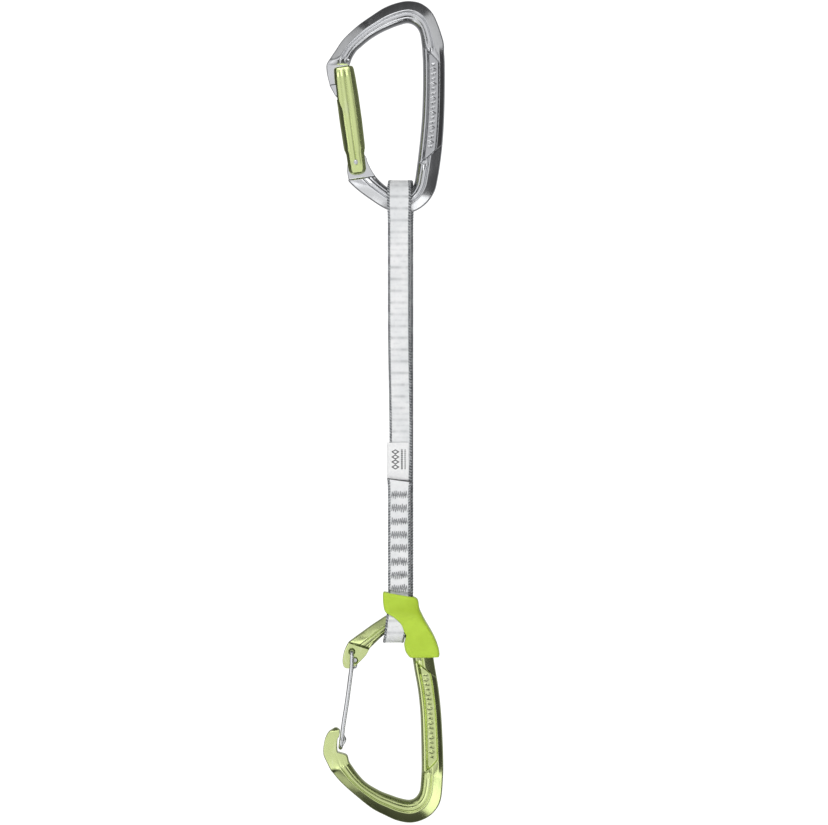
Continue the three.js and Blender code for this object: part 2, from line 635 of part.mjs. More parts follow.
// The moulding's front outline, clockwise from its top left corner.
const KEEPER_OUTLINE = [
  [-11.9, -271.6],
  [-10.6, -270.7],
  [-4.0, -271.0],
  [4.0, -273.9],
  [5.7, -279.2],
  [8.4, -284.4],
  [12.9, -292.5],
  [15.0, -298.7],
  [14.6, -301.5],
  [0.8, -301.8],
  [-1.2, -299.2],
  [-2.1, -293.5],
  [-2.4, -288.7],
  [-4.0, -284.7],
  [-10.6, -280.0],
  [-11.9, -276.4],
];
const SLEEVE_RIGHT = 6.5; // the deep sleeve round the tape ends here

// The space that the tape and the bar inside it take up, down through the keeper.
function tapePassage() {
  const half = TAPE_WIDTH / 2 + CLEARANCE;
  const deep = LOWER_EYE.inner + TAPE_THICK + CLEARANCE;
  const shallow = TAPE_FRONT + TAPE_THICK + SKIN_GAP + CLEARANCE;
  const levels = [
    [SEWN_BOTTOM + 3, shallow],
    [SEWN_BOTTOM, shallow],
    [LOWER_EYE.z + 4, deep],
    [LOWER_EYE.z - 10, deep],
  ];
  return loft(
    levels.map(([z, depth]) => {
      const x = tapeMiddle(z);
      return [
        new THREE.Vector3(x - half, -depth, z),
        new THREE.Vector3(x + half, -depth, z),
        new THREE.Vector3(x + half, depth, z),
        new THREE.Vector3(x - half, depth, z),
      ];
    }),
  );
}

function intoWorld(geometry) {
  return geometry.rotateX(Math.PI).translate(LOWER_CROWN.x, 0, LOWER_CROWN.z);
}

function keeper() {
  const spinePart = toSolid(plate(KEEPER_OUTLINE, KEEPER_SPINE_HALF));
  const sleeveBand = toSolid(
    plate([[-13, -270], [SLEEVE_RIGHT, -270], [SLEEVE_RIGHT, -303], [-13, -303]], 12),
  );
  const sleeve = toSolid(plate(KEEPER_OUTLINE, KEEPER_SLEEVE_HALF)).intersect(sleeveBand);
  const link = intoWorld(forgedBody(LOWER_CUTS, 2, CLEARANCE));
  const moulding = spinePart.add(sleeve).subtract(toSolid(link));
  return toGeometry(moulding.subtract(toSolid(tapePassage())));
}

// ---- Assembly -----------------------------------------------------------------------

function piece(name, geometry, finish) {
  const mesh = new THREE.Mesh(geometry, new THREE.MeshStandardMaterial(COLOURS[finish]));
  mesh.name = name;
  return mesh;
}

const quickdraw = new THREE.Group();

quickdraw.add(piece("upper_body", upperBody(), "silver"));

const gateGroup = new THREE.Group();
gateGroup.position.set(GATE_PIVOT.x, 0, GATE_PIVOT.z);
gateGroup.rotation.y = -THREE.MathUtils.degToRad(GATE_TILT);
gateGroup.add(
  piece("upper_gate", upperGate(), "leaf"),
  piece("upper_gate_rivet", upperGateRivet(), "steel"),
  piece("upper_gate_spring", upperGateSpring(), "steel"),
  piece("upper_gate_plunger", upperGatePlunger(), "steel"),
);
quickdraw.add(gateGroup);

const lowerLink = new THREE.Group();
lowerLink.position.set(LOWER_CROWN.x, 0, LOWER_CROWN.z);
lowerLink.rotation.x = Math.PI;
lowerLink.add(
  piece("lower_body", lowerBody(), "lime"),
  piece("lower_wire_gate", lowerWireGate(), "steel"),
);
quickdraw.add(lowerLink);

quickdraw.add(
  piece("sling_tape_upper", slingTapeUpper(), "tape"),
  piece("sling_tape_lower", slingTapeLower(), "tape"),
  piece("sling_tape_end", slingTapeEnd(), "tape"),
  piece("sling_label", slingLabel(), "tape"),
  piece("keeper", keeper(), "rubber"),
);

const tackFront = -(TAPE_FRONT + SKIN_GAP + TAPE_THICK + THREAD_THICK / 2 + 0.05);
for (let row = 0; row < TACK_COUNT; row++) {
  const tack = piece(`bar_tack_${row + 1}`, barTack(), "thread");
  tack.position.set(TAPE_X, tackFront, TACK_TOP - row * TACK_PITCH);
  quickdraw.add(tack);
}

export default quickdraw;
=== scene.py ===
import math
import random

import bmesh
import bpy
import numpy as np
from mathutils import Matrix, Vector


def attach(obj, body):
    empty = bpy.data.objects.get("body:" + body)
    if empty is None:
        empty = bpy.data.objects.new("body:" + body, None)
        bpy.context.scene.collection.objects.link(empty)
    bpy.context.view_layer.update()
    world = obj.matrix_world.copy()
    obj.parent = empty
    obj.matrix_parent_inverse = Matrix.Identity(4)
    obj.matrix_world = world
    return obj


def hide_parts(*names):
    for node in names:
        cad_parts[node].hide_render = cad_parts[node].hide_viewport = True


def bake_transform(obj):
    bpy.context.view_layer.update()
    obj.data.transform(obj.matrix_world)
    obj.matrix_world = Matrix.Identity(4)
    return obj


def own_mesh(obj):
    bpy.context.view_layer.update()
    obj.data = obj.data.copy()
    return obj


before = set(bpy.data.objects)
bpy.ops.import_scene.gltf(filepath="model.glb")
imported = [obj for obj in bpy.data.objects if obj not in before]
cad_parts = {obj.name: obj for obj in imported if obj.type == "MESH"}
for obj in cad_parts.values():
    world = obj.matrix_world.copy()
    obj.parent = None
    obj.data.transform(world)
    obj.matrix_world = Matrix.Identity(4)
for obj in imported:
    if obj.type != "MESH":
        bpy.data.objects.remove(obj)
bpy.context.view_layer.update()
MM = 0.001
rng = random.Random(7)

# ---- Driving dimensions ----

# Most are the CAD model's. Its tape is 0.3 mm wider and 0.1 mm thicker than here, and its
# gate bar and the two eyes of its tape are smaller. A half is half a thickness along Y.
BAR_HALF = 4.7  # the crown and basket of a link
PLATE_HALF = 2.1  # the flat ends of a link, where a gate sits
HEAD_HALF = 3.1  # the upper link's nose, inside the gate
HOOK_HALF = 3.3  # the lower link's nose
PANEL_DEPTH = 1.3  # of the recess along a link's spine
CLEARANCE = 0.35
GATE_PIVOT = (-24.75, -66.4)
GATE_TILT = math.radians(7.74)
GATE_TOP = 46.1
GATE_DEPTH = 4.7  # half-thickness of the gate bar
LOWER_CROWN = (0.95, -369.6)
TAPE_WIDTH = 10.7
TAPE_THICK = 1.7
RIB_PITCH = 5.57  # between the ribs woven across the tape
LEG_Y = 1.1  # middle of each leg of tape where the two are sewn together
UPPER_EYE = (-83.4, 8.1)  # height of the upper bend's centre, radius to the tape's middle
LOWER_EYE = (-286.9, 7.2)
SEWN_BOTTOM = -271.0
TAPE_END_TOP = -217.6


# ---- Mesh helpers ----

def make_object(name, points, faces, sharp=35):
    mesh = bpy.data.meshes.new(name)
    mesh.from_pydata([tuple(p) for p in np.asarray(points) * MM], [], faces)
    obj = bpy.data.objects.new(name, mesh)
    bpy.context.scene.collection.objects.link(obj)
    face_outwards(mesh)
    shade(mesh, sharp)
    return obj


def face_outwards(mesh):
    work = bmesh.new()
    work.from_mesh(mesh)
    bmesh.ops.recalc_face_normals(work, faces=work.faces)
    work.to_mesh(mesh)
    work.free()


def shade(mesh, sharp):
    mesh.shade_smooth()
    mesh.set_sharp_from_angle(angle=math.radians(sharp))


def grid_faces(rows, columns, closed):
    faces = []
    last_row = rows if closed else rows - 1
    for r in range(last_row):
        for c in range(columns):
            a, b = r * columns + c, r * columns + (c + 1) % columns
            shift = ((r + 1) % rows - r) * columns
            faces.append((a, b, b + shift, a + shift))
    if not closed:
        faces.append(tuple(range(columns))[::-1])
        faces.append(tuple(range((rows - 1) * columns, rows * columns)))
    return faces


def skin(name, rings, closed=False, sharp=35):
    """A mesh over rings of points, capped at both ends unless the last ring meets the first."""
    rings = np.asarray(rings)
    rows, around = rings.shape[:2]
    return make_object(name, rings.reshape(-1, 3), grid_faces(rows, around, closed), sharp)


def carve(target, cutters):
    """Cuts each cutter out of target with an exact boolean and keeps the result."""
    for cutter in cutters:
        modifier = target.modifiers.new("cut", "BOOLEAN")
        modifier.operation = "DIFFERENCE"
        modifier.solver = "EXACT"
        modifier.object = cutter
    graph = bpy.context.evaluated_depsgraph_get()
    result = bpy.data.meshes.new_from_object(target.evaluated_get(graph))
    target.modifiers.clear()
    target.data = result
    for cutter in cutters:
        bpy.data.objects.remove(cutter)


def prism(name, outline, half):
    """A plate with its outline in x and z, centred on Y = 0."""
    count = len(outline)
    points = [(x, -half, z) for x, z in outline] + [(x, half, z) for x, z in outline]
    faces = [tuple(range(count)), tuple(range(count, 2 * count))[::-1]]
    faces += [(k, (k + 1) % count, count + (k + 1) % count, count + k) for k in range(count)]
    return make_object(name, points, faces)


def smooth(low, high, value):
    """0 at low, 1 at high, with a soft start and end. high may be the lesser of the two."""
    f = np.clip((value - low) / (high - low), 0, 1)
    return f * f * (3 - 2 * f)


def through(values, at):
    """Uniform Catmull-Rom curve through values, read at fractional places."""
    values = np.asarray(values, float)
    i = np.clip(np.floor(at).astype(int), 0, len(values) - 2)
    f = (at - i).reshape(-1, *[1] * (values.ndim - 1))
    last = len(values) - 1
    a, b, c, d = (values[np.clip(i + k, 0, last)] for k in (-1, 0, 1, 2))
    cubic = (3 * (b - c) + d - a) * f**3
    square = (2 * a - 5 * b + 4 * c - d) * f**2
    return b + (cubic + square + (c - a) * f) / 2


def distances(points):
    """How far along a line of points each of them lies."""
    steps = np.linalg.norm(np.diff(points, axis=0), axis=1)
    return np.concatenate([[0], np.cumsum(steps)])


def unit(vectors):
    return vectors / np.linalg.norm(vectors, axis=1)[:, None]


def soften_ring(points):
    return (np.roll(points, 1, axis=0) + 2 * points + np.roll(points, -1, axis=0)) / 4


def angles_round(count):
    return [2 * math.pi * k / count for k in range(count)]


# ---- Forged link bodies ----

# Each cut: inner point, outer point, half-thickness, how far forged (0 plate, 1 bar).
UPPER_CUTS = [
    ((-32.0, -35.2), (-33.4, -35.3), 2.2, 0),
    ((-31.0, -34.3), (-34.6, -34.3), HEAD_HALF, 0),
    ((-30.4, -29.1), (-37.0, -30.0), HEAD_HALF, 0),
    ((-30.3, -28.5), (-37.2, -29.4), PLATE_HALF, 0),
    ((-29.4, -23.6), (-38.4, -24.4), PLATE_HALF, 0),
    ((-28.0, -20.2), (-38.7, -20.3), PLATE_HALF, 0),
    ((-26.9, -17.2), (-37.7, -17.9), 4.0, 0.6),
    ((-26.2, -15.9), (-36.9, -16.6), 4.4, 0.9),
    ((-24.6, -13.4), (-34.3, -12.6), 4.5, 1),
    ((-22.6, -11.5), (-30.6, -7.4), 4.5, 1),
    ((-18.1, -7.8), (-24.0, -1.2), BAR_HALF, 1),
    ((-13.3, -4.8), (-17.6, 3.4), BAR_HALF, 1),
    ((-8.6, -2.6), (-11.3, 7.4), BAR_HALF, 1),
    ((-3.8, -0.8), (-5.0, 9.8), BAR_HALF, 1),
    ((0.0, 0.0), (0.9, 10.6), BAR_HALF, 1),
    ((3.3, -1.3), (7.0, 9.1), BAR_HALF, 1),
    ((5.6, -4.6), (12.4, 3.8), BAR_HALF, 1),
    ((6.6, -10.5), (16.75, -7.8), BAR_HALF, 1),
    ((6.9, -15.0), (17.3, -14.0), 4.6, 1),
    ((7.1, -20.0), (17.6, -20.0), 4.6, 1),
    ((7.1, -32.0), (17.6, -32.0), 4.6, 1),
    ((6.7, -44.0), (17.3, -44.5), 4.6, 1),
    ((5.9, -54.0), (16.7, -55.0), 4.6, 1),
    ((4.9, -63.0), (15.7, -64.5), 4.6, 1),
    ((3.9, -71.0), (14.3, -73.5), BAR_HALF, 1),
    ((2.9, -76.6), (12.6, -80.2), BAR_HALF, 1),
    ((1.0, -80.2), (8.6, -85.9), BAR_HALF, 1),
    ((-1.8, -81.7), (2.6, -89.7), BAR_HALF, 1),
    ((-5.0, -81.1), (-4.4, -90.5), BAR_HALF, 1),
    ((-8.4, -79.0), (-11.3, -88.0), BAR_HALF, 1),
    ((-11.8, -76.4), (-17.5, -84.1), 4.6, 1),
    ((-14.0, -74.4), (-23.6, -79.6), 4.3, 0.8),
    ((-15.2, -73.1), (-28.0, -75.4), 3.6, 0.4),
    ((-15.6, -72.6), (-28.2, -74.4), PLATE_HALF, 0),
    ((-17.6, -69.4), (-28.8, -71.0), PLATE_HALF, 0),
]
# The lower link in its own frame, turned over: crown up, gate to the left.
LOWER_CUTS = [
    ((-34.7, -34.4), (-35.8, -34.4), 2.2, 0),
    ((-33.4, -33.2), (-38.6, -32.5), HOOK_HALF, 0),
    ((-33.6, -30.6), (-40.1, -29.9), HOOK_HALF, 0),
    ((-34.5, -28.6), (-40.8, -27.4), HOOK_HALF, 0),
    ((-34.5, -23.4), (-41.2, -24.2), HOOK_HALF, 0),
    ((-33.2, -22.6), (-41.1, -22.6), HOOK_HALF, 0),
    ((-30.0, -21.4), (-40.7, -20.8), HOOK_HALF, 0),
    ((-29.0, -18.4), (-37.8, -14.8), 3.6, 0.1),
    ((-28.1, -17.0), (-36.6, -12.9), 4.2, 0.85),
    ((-24.4, -12.0), (-32.6, -8.2), 4.5, 1),
    ((-20.4, -8.0), (-26.6, -2.8), BAR_HALF, 1),
    ((-14.3, -4.4), (-18.5, 3.7), BAR_HALF, 1),
    ((-9.5, -2.5), (-12.0, 7.2), BAR_HALF, 1),
    ((-4.8, -0.9), (-6.0, 9.8), BAR_HALF, 1),
    ((-0.4, -0.1), (0.3, 10.8), BAR_HALF, 1),
    ((2.6, -1.2), (6.2, 9.4), BAR_HALF, 1),
    ((4.6, -4.2), (11.2, 6.0), BAR_HALF, 1),
    ((5.2, -8.8), (14.7, 0.0), BAR_HALF, 1),
    ((5.5, -14.0), (15.8, -11.0), 4.6, 1),
    ((5.5, -20.0), (15.9, -19.5), 4.6, 1),
    ((5.3, -31.0), (15.5, -31.0), 4.6, 1),
    ((4.9, -42.0), (14.8, -42.5), 4.6, 1),
    ((3.8, -52.5), (13.6, -53.5), 4.6, 1),
    ((2.2, -61.5), (12.0, -63.0), 4.6, 1),
    ((1.2, -67.5), (10.8, -70.0), BAR_HALF, 1),
    ((0.0, -72.3), (8.8, -77.0), BAR_HALF, 1),
    ((-2.1, -77.0), (4.8, -84.2), BAR_HALF, 1),
    ((-5.2, -79.8), (-1.4, -88.6), BAR_HALF, 1),
    ((-9.0, -80.2), (-8.6, -89.0), BAR_HALF, 1),
    ((-12.4, -78.5), (-15.6, -85.1), 4.6, 1),
    ((-15.8, -75.4), (-22.0, -80.6), 4.4, 0.9),
    ((-18.8, -72.6), (-28.2, -76.0), 3.6, 0.4),
    ((-19.4, -71.6), (-29.4, -74.8), PLATE_HALF, 0),
    ((-21.0, -68.9), (-31.2, -71.0), PLATE_HALF, 0),
    ((-23.5, -66.2), (-32.0, -66.6), PLATE_HALF, 0),
    ((-25.7, -64.2), (-31.4, -63.6), PLATE_HALF, 0),
    ((-27.4, -63.0), (-29.8, -62.7), PLATE_HALF, 0),
]
# Where the recessed panel's two tips lie, as places in the list of cuts.
UPPER_PANEL = (17.5, 23.4)
LOWER_PANEL = (18.05, 23.65)
PANEL_FROM, PANEL_TO = 0.19, 0.75  # the panel's two sides, as shares of the bar's width
INNER_WALL, OUTER_WALL = 1.2, 0.6  # how wide its sloping walls are
END_SLANT = 1.15  # how far its ends run back for each millimetre across
TIP_LENGTH = 0.7  # how far its floor takes to drop at a tip
FACET_DEPTH = 0.6  # of the small facet past each tip
FACET_LENGTH, FACET_WIDTH = 4.0, 1.7  # half-sizes of that facet
MARK_PITCH, MARK_HEIGHT = 2.3, 0.34
MARK_MIDDLE = 0.48  # where the row of cast marks runs, as a share of the bar's width
MARK_MARGIN = 6  # bare floor between the row and each tip
LOZENGE_WIDTH, LOZENGE_LENGTH = 1.9, 0.95  # half-sizes
MARK_EDGE = 2.6  # steepness of a mark's edge
MARK_REACHES = [rng.uniform(0.9, 1.9) for _ in range(11)]  # half-lengths of the cast marks
LINK_SHARP = 55  # degrees between faces that leave an edge crisp


CAM_RADIUS = 4.0
CAM_GROWTH = 0.05  # for each degree towards the inner side, up to 30


def cam_cuts():
    """The upper tongue's round end, a cam about the gate's pivot."""
    def point(angle):
        radius = CAM_RADIUS + CAM_GROWTH * min(max(angle, 0), 30)
        bearing = math.radians(angle) - GATE_TILT
        x = GATE_PIVOT[0] + radius * math.sin(bearing)
        return (x, GATE_PIVOT[1] + radius * math.cos(bearing))

    openings = [92, 75, 60, 45, 30, 15, 4]
    return [(point(a), point(-a), PLATE_HALF, 0) for a in openings]


def rounded_edge(t):
    return np.sqrt(1 - 0.98 * np.clip((t - 0.94) / 0.06, 0, 1) ** 2)


def bar_profile(t):
    """Half-thickness across a crown or basket: a round bearing side with a soft crease, a
    fine groove, a ridge, and a sloping outer band with a rounded edge."""
    bearing = (1 - (np.clip((0.44 - t) / 0.44, 0, 1)) ** 2.3) ** 0.5
    slope = 1 - 0.64 * np.clip((t - 0.54) / 0.46, 0, 1) ** 1.1
    groove = 0.12 * np.exp(-(((t - 0.46) / 0.028) ** 2))
    crease = 0.08 * np.exp(-(((t - 0.235) / 0.03) ** 2))
    return bearing * slope * rounded_edge(t) - groove - crease


def spine_profile(t):
    """Half-thickness across the spine, before its panel: two rims and rounded edges."""
    inner = (1 - (np.clip((0.17 - t) / 0.17, 0, 1)) ** 2.2) ** 0.5
    outer = 1 - 0.55 * np.clip((t - 0.77) / 0.23, 0, 1)
    return inner * outer * rounded_edge(t)


def plate_profile(t):
    corner = np.clip(np.maximum(0.05 - t, t - 0.95) / 0.05, 0, 1)
    return 1 - 0.16 * corner**2


def across_samples(count):
    """Places across the bar, closer together towards both edges."""
    even = np.linspace(0, 1, count)
    return 0.5 * even + 0.5 * (0.5 - 0.5 * np.cos(np.pi * even))


def spine_share(t, along, width, start, end):
    """Where the bar has the spine's shape: it comes in over a triangular facet between a
    straight crease near the crown and the panel's slanting end, and goes out along a
    slanting crease near the basket."""
    slant = END_SLANT * np.maximum(t - PANEL_FROM, 0) * width
    comes_in = np.clip((along - start + 0.8) / (slant + 0.9), 0, 1)
    return comes_in * smooth(-0.5, 0.5, end - along - slant)


def panel_relief(t, along, width, start, end):
    """Depth of the recessed panel, whose ends are cut aslant from its inner side, and of
    the small facet past each end. along is the distance down the bar, start and end the
    panel's two tips."""
    from_inner = (t - PANEL_FROM) * width
    slant = END_SLANT * from_inner
    sides = np.minimum(from_inner / INNER_WALL, (PANEL_TO - t) * width / OUTER_WALL)
    tips = np.minimum(along - start - slant, end - along - slant) / TIP_LENGTH
    panel = np.clip(np.minimum(sides, tips), 0, 1)
    facets = 0
    for tip in (start, end):
        off = np.abs(from_inner - 1.3) / FACET_WIDTH
        reach = 1 - off - np.abs(along - tip) / FACET_LENGTH
        facets = np.maximum(facets, np.clip(reach * 1.3, 0, 1))
    return panel, facets


def cast_marks(t, along, width, start, end):
    """A close row of small raised lozenges and bars along the panel's floor."""
    first, last = start + MARK_MARGIN, end - MARK_MARGIN
    inside = smooth(first, first + 1, along) * (1 - smooth(last - 1, last, along))
    step = (along - start) / MARK_PITCH
    phase = (step % 1 - 0.5) * MARK_PITCH
    off = np.abs(t - MARK_MIDDLE) * width
    reach = np.array(MARK_REACHES)[np.floor(step).astype(int) % len(MARK_REACHES)]
    lozenge = 1 - off / LOZENGE_WIDTH - np.abs(phase) / LOZENGE_LENGTH
    bar = np.minimum(1 - off / reach, 0.5 - np.abs(phase + 0.3 * (t - MARK_MIDDLE) * width))
    pattern = np.where(np.floor(step) % 3 == 1, lozenge, bar)
    return inside * np.clip(pattern * MARK_EDGE, 0, 1)


def forged_link(name, cuts, panel_ends, spacing=0.33, columns=66):
    """Skins the cuts with a fine grid, with the recessed panel's tips at panel_ends. The
    attribute recess is 1 over the panel and 0 elsewhere, and marks where painted shade goes."""
    middles = np.array([[(a + b) / 2 for a, b in zip(c[0], c[1])] for c in cuts])
    lengths = np.linalg.norm(np.diff(middles, axis=0), axis=1)
    places = [
        i + np.arange(steps) / steps
        for i, steps in enumerate(np.maximum(2, np.ceil(lengths / spacing)).astype(int))
    ]
    at = np.append(np.concatenate(places), len(cuts) - 1)
    inner = through([c[0] for c in cuts], at)
    outer = through([c[1] for c in cuts], at)
    number = np.arange(len(cuts))
    half, forged = (np.interp(at, number, [c[k] for c in cuts])[:, None] for k in (2, 3))
    centre = (inner + outer) / 2
    along = distances(centre)
    start, end = (np.interp(k, at, along) for k in panel_ends)
    along = along[:, None]
    width = np.linalg.norm(outer - inner, axis=1)[:, None]
    t = across_samples(columns)[None, :]

    spine = spine_share(t, along, width, start, end)
    bar = bar_profile(t) * (1 - spine) + spine_profile(t) * spine
    height = half * (plate_profile(t) * (1 - forged) + bar * forged)
    panel, facets = panel_relief(t, along, width, start, end)
    floor = half - PANEL_DEPTH + MARK_HEIGHT * cast_marks(t, along, width, start, end)
    height = np.where(panel > 0, height + panel * (np.minimum(height, floor) - height), height)
    height = np.maximum(height - FACET_DEPTH * facets, 0.05)

    flat = inner[:, None, :] + t[..., None] * (outer - inner)[:, None, :]
    front = np.stack([flat[..., 0], -height, flat[..., 1]], axis=-1)
    back = front[:, ::-1] * [1, -1, 1]
    obj = skin(name, np.concatenate([front, back], axis=1), sharp=LINK_SHARP)
    recess = obj.data.attributes.new("recess", "FLOAT", "POINT")
    recess.data.foreach_set("value", np.concatenate([panel, panel[:, ::-1]], axis=1).ravel())
    return obj


def turn_over(obj):
    """Moves a mesh from the lower link's own frame into the model's."""
    for vertex in obj.data.vertices:
        x, y, z = vertex.co
        vertex.co = (x + LOWER_CROWN[0] * MM, -y, LOWER_CROWN[1] * MM - z)


# ---- Materials ----

class Shader:
    """A small helper round one node material."""

    def __init__(self, name, color, roughness, metallic=0.0, sheen=0.0):
        self.material = bpy.data.materials.new(name)
        self.material.use_nodes = True
        self.tree = self.material.node_tree
        self.bsdf = self.tree.nodes["Principled BSDF"]
        self.bsdf.inputs["Base Color"].default_value = (*color, 1)
        self.bsdf.inputs["Metallic"].default_value = metallic
        self.bsdf.inputs["Roughness"].default_value = roughness
        self.bsdf.inputs["Sheen Weight"].default_value = sheen

    def node(self, kind, **settings):
        made = self.tree.nodes.new(kind)
        for key, value in settings.items():
            setattr(made, key, value)
        return made

    def link(self, source, target):
        self.tree.links.new(source, target)

    def feed(self, value, socket):
        """Links an output to a socket, or sets the socket to a number or a colour."""
        if isinstance(value, bpy.types.NodeSocket):
            self.link(value, socket)
        elif isinstance(value, tuple):
            socket.default_value = (*value, 1)
        else:
            socket.default_value = value

    def math(self, operation, a, b=0.0, c=0.0):
        made = self.node("ShaderNodeMath", operation=operation)
        for value, socket in zip((a, b, c), made.inputs):
            self.feed(value, socket)
        return made.outputs[0]

    def times(self, a, b):
        return self.math("MULTIPLY", a, b)

    def position(self):
        return self.node("ShaderNodeTexCoord").outputs["Object"]

    def tape_uv(self):
        """The two coordinates that add_uv gives to cloth."""
        uv = self.node("ShaderNodeUVMap", uv_map="tape").outputs[0]
        split = self.node("ShaderNodeSeparateXYZ")
        self.link(uv, split.inputs[0])
        return split.outputs[0], split.outputs[1]

    def noise(self, scale, detail=3.0, stretch=(1, 1, 1), roughness=0.5):
        mapping = self.node("ShaderNodeMapping")
        mapping.inputs["Scale"].default_value = stretch
        self.link(self.position(), mapping.inputs["Vector"])
        made = self.node("ShaderNodeTexNoise")
        made.inputs["Scale"].default_value = scale
        made.inputs["Detail"].default_value = detail
        made.inputs["Roughness"].default_value = roughness
        self.link(mapping.outputs[0], made.inputs["Vector"])
        return made.outputs[0]

    def ramp(self, factor, low=0, high=1, at=(0.0, 1.0)):
        made = self.node("ShaderNodeMapRange")
        limits = {"From Min": at[0], "From Max": at[1], "To Min": low, "To Max": high}
        for socket, value in limits.items():
            made.inputs[socket].default_value = value
        self.link(factor, made.inputs["Value"])
        return made.outputs[0]

    def mix(self, factor, a, b, blend="MIX"):
        made = self.node("ShaderNodeMix", data_type="RGBA", blend_type=blend)
        self.feed(factor, made.inputs["Factor"])
        self.feed(a, made.inputs[6])
        self.feed(b, made.inputs[7])
        return made.outputs[2]

    def bump(self, height, distance, strength=1.0, after=None):
        made = self.node("ShaderNodeBump")
        made.inputs["Distance"].default_value = distance * MM
        made.inputs["Strength"].default_value = strength
        self.link(height, made.inputs["Height"])
        if after is not None:
            self.link(after, made.inputs["Normal"])
        self.link(made.outputs[0], self.bsdf.inputs["Normal"])
        return made.outputs[0]

    def set(self, socket, value):
        self.link(value, self.bsdf.inputs[socket])


def forged_metal(name, color, worn, roughness, recess_shade=1.0):
    """Tumbled forged aluminium: fine grain, soft handling marks and paler worn patches.
    The last argument darkens the recessed panel's colour, as painted shade in the recess."""
    made = Shader(name, color, roughness, metallic=1.0)
    grain = made.noise(2600, detail=2)
    scuffs = made.noise(260, detail=6, stretch=(1, 1, 0.35), roughness=0.62)
    patches = made.noise(45)
    rough = made.ramp(scuffs, roughness - 0.03, roughness + 0.1, at=(0.35, 0.7))
    made.set("Roughness", made.math("ADD", rough, made.ramp(patches, -0.02, 0.05)))
    patchy = made.ramp(patches, at=(0.3, 0.7))
    base = made.mix(patchy, color, tuple(c * 0.93 for c in color))
    rub = made.ramp(scuffs, 0, 0.5, at=(0.58, 0.75))
    recess = made.node("ShaderNodeAttribute", attribute_name="recess").outputs["Fac"]
    # Painted shade: the colour over the recessed panel is multiplied darker.
    recess_shading = made.mix(recess, (1.0, 1.0, 1.0), (recess_shade, recess_shade, recess_shade))
    made.set("Base Color", made.mix(1.0, made.mix(rub, base, worn), recess_shading, blend="MULTIPLY"))
    first = made.bump(grain, 0.004, 0.3)
    made.bump(scuffs, 0.01, 0.3, after=first)
    return made.material


def steel(name, roughness):
    made = Shader(name, (0.62, 0.63, 0.64), roughness, metallic=1.0)
    drawn = made.noise(900, stretch=(1, 1, 0.03))
    made.set("Roughness", made.ramp(drawn, roughness - 0.02, roughness + 0.08, at=(0.3, 0.7)))
    made.bump(drawn, 0.0005, 0.1)
    return made.material


def rubber(name):
    made = Shader(name, (0.43, 0.63, 0.062), roughness=0.42, sheen=0.15)
    made.bsdf.inputs["Subsurface Weight"].default_value = 0.08
    made.bsdf.inputs["Subsurface Radius"].default_value = (0.004, 0.005, 0.001)
    cloud = made.noise(120)
    pores = made.noise(3200, detail=2)
    cloudy = made.ramp(cloud, at=(0.35, 0.65))
    made.set("Base Color", made.mix(cloudy, (0.47, 0.67, 0.042), (0.42, 0.60, 0.03)))
    made.set("Roughness", made.ramp(pores, 0.36, 0.56, at=(0.3, 0.7)))
    made.bump(pores, 0.02, 0.5)
    return made.material


def webbing(name, ribbed):
    """Woven tape. u runs 0 to 1 across it, v is the distance along it in tape widths. ribbed
    is how strongly the painted shade along its cross ribs shows."""
    made = Shader(name, (0.8, 0.8, 0.8), roughness=0.62, sheen=0.25)
    u, v = made.tape_uv()
    fuzz = made.noise(700, detail=5, roughness=0.7)
    cloud = made.noise(90)
    drift = made.noise(260, detail=2, stretch=(1, 1, 0.2))

    def wave(operation, value, turns, push=0.0):
        turned = made.times(value, 2 * math.pi * turns)
        return made.math(operation, made.math("ADD", turned, push))

    weave = made.times(wave("SINE", u, 16), wave("SINE", v, 15))
    slant = wave("SINE", made.math("ADD", made.times(u, 0.6), v), 8.0)
    rib_turns = TAPE_WIDTH / RIB_PITCH / 2
    rib = made.math("POWER", made.math("ABSOLUTE", wave("COSINE", v, rib_turns)), 12.0)
    half_rib = made.math("POWER", made.math("ABSOLUTE", wave("SINE", v, rib_turns)), 30.0)
    edge = made.math("ABSOLUTE", made.math("SUBTRACT", u, 0.5))
    ragged = made.math("ADD", edge, made.ramp(fuzz, -0.012, 0.012, at=(0.3, 0.7)))
    selvedge = made.ramp(ragged, at=(0.386, 0.398))

    clean, soiled, shadow = (0.86, 0.865, 0.865), (0.76, 0.775, 0.78), (0.5, 0.51, 0.52)
    white = made.mix(made.ramp(cloud, at=(0.35, 0.65)), clean, soiled)
    # Painted shade of the woven ribs: grey lines on each rib, and here and there darker lines
    # midway between them.
    uneven = made.ramp(drift, 0.15 * ribbed, 0.75 * ribbed, at=(0.3, 0.65))
    white = made.mix(made.times(rib, uneven), white, (0.45, 0.46, 0.47))
    here_and_there = made.ramp(drift, 0.4 * ribbed, 0.0, at=(0.3, 0.55))
    white = made.mix(made.times(half_rib, here_and_there), white, shadow)
    white = made.mix(made.ramp(fuzz, 0, 0.25, at=(0.5, 0.75)), white, shadow)
    dark, light = (0.07, 0.075, 0.085), (0.55, 0.57, 0.58)
    lines = made.ramp(slant, 0, 0.75, at=(-0.2, 1))
    twill = made.math("ADD", lines, made.ramp(fuzz, -0.3, 0.5, at=(0.35, 0.65)))
    grey = made.mix(made.ramp(twill), dark, light)
    made.set("Base Color", made.mix(selvedge, white, grey))
    first = made.bump(weave, 0.07, 0.7)
    second = made.bump(made.times(slant, selvedge), 0.15, 0.8, after=first)
    made.bump(fuzz, 0.06, 0.5, after=second)
    return made.material


def thread(name):
    made = Shader(name, (0.2, 0.21, 0.22), roughness=0.6, sheen=0.3)
    twist = made.noise(1500, stretch=(1, 1, 0.4))
    strands = made.ramp(twist, at=(0.35, 0.65))
    made.set("Base Color", made.mix(strands, (0.17, 0.176, 0.182), (0.42, 0.43, 0.44)))
    made.bump(twist, 0.05, 0.8)
    return made.material


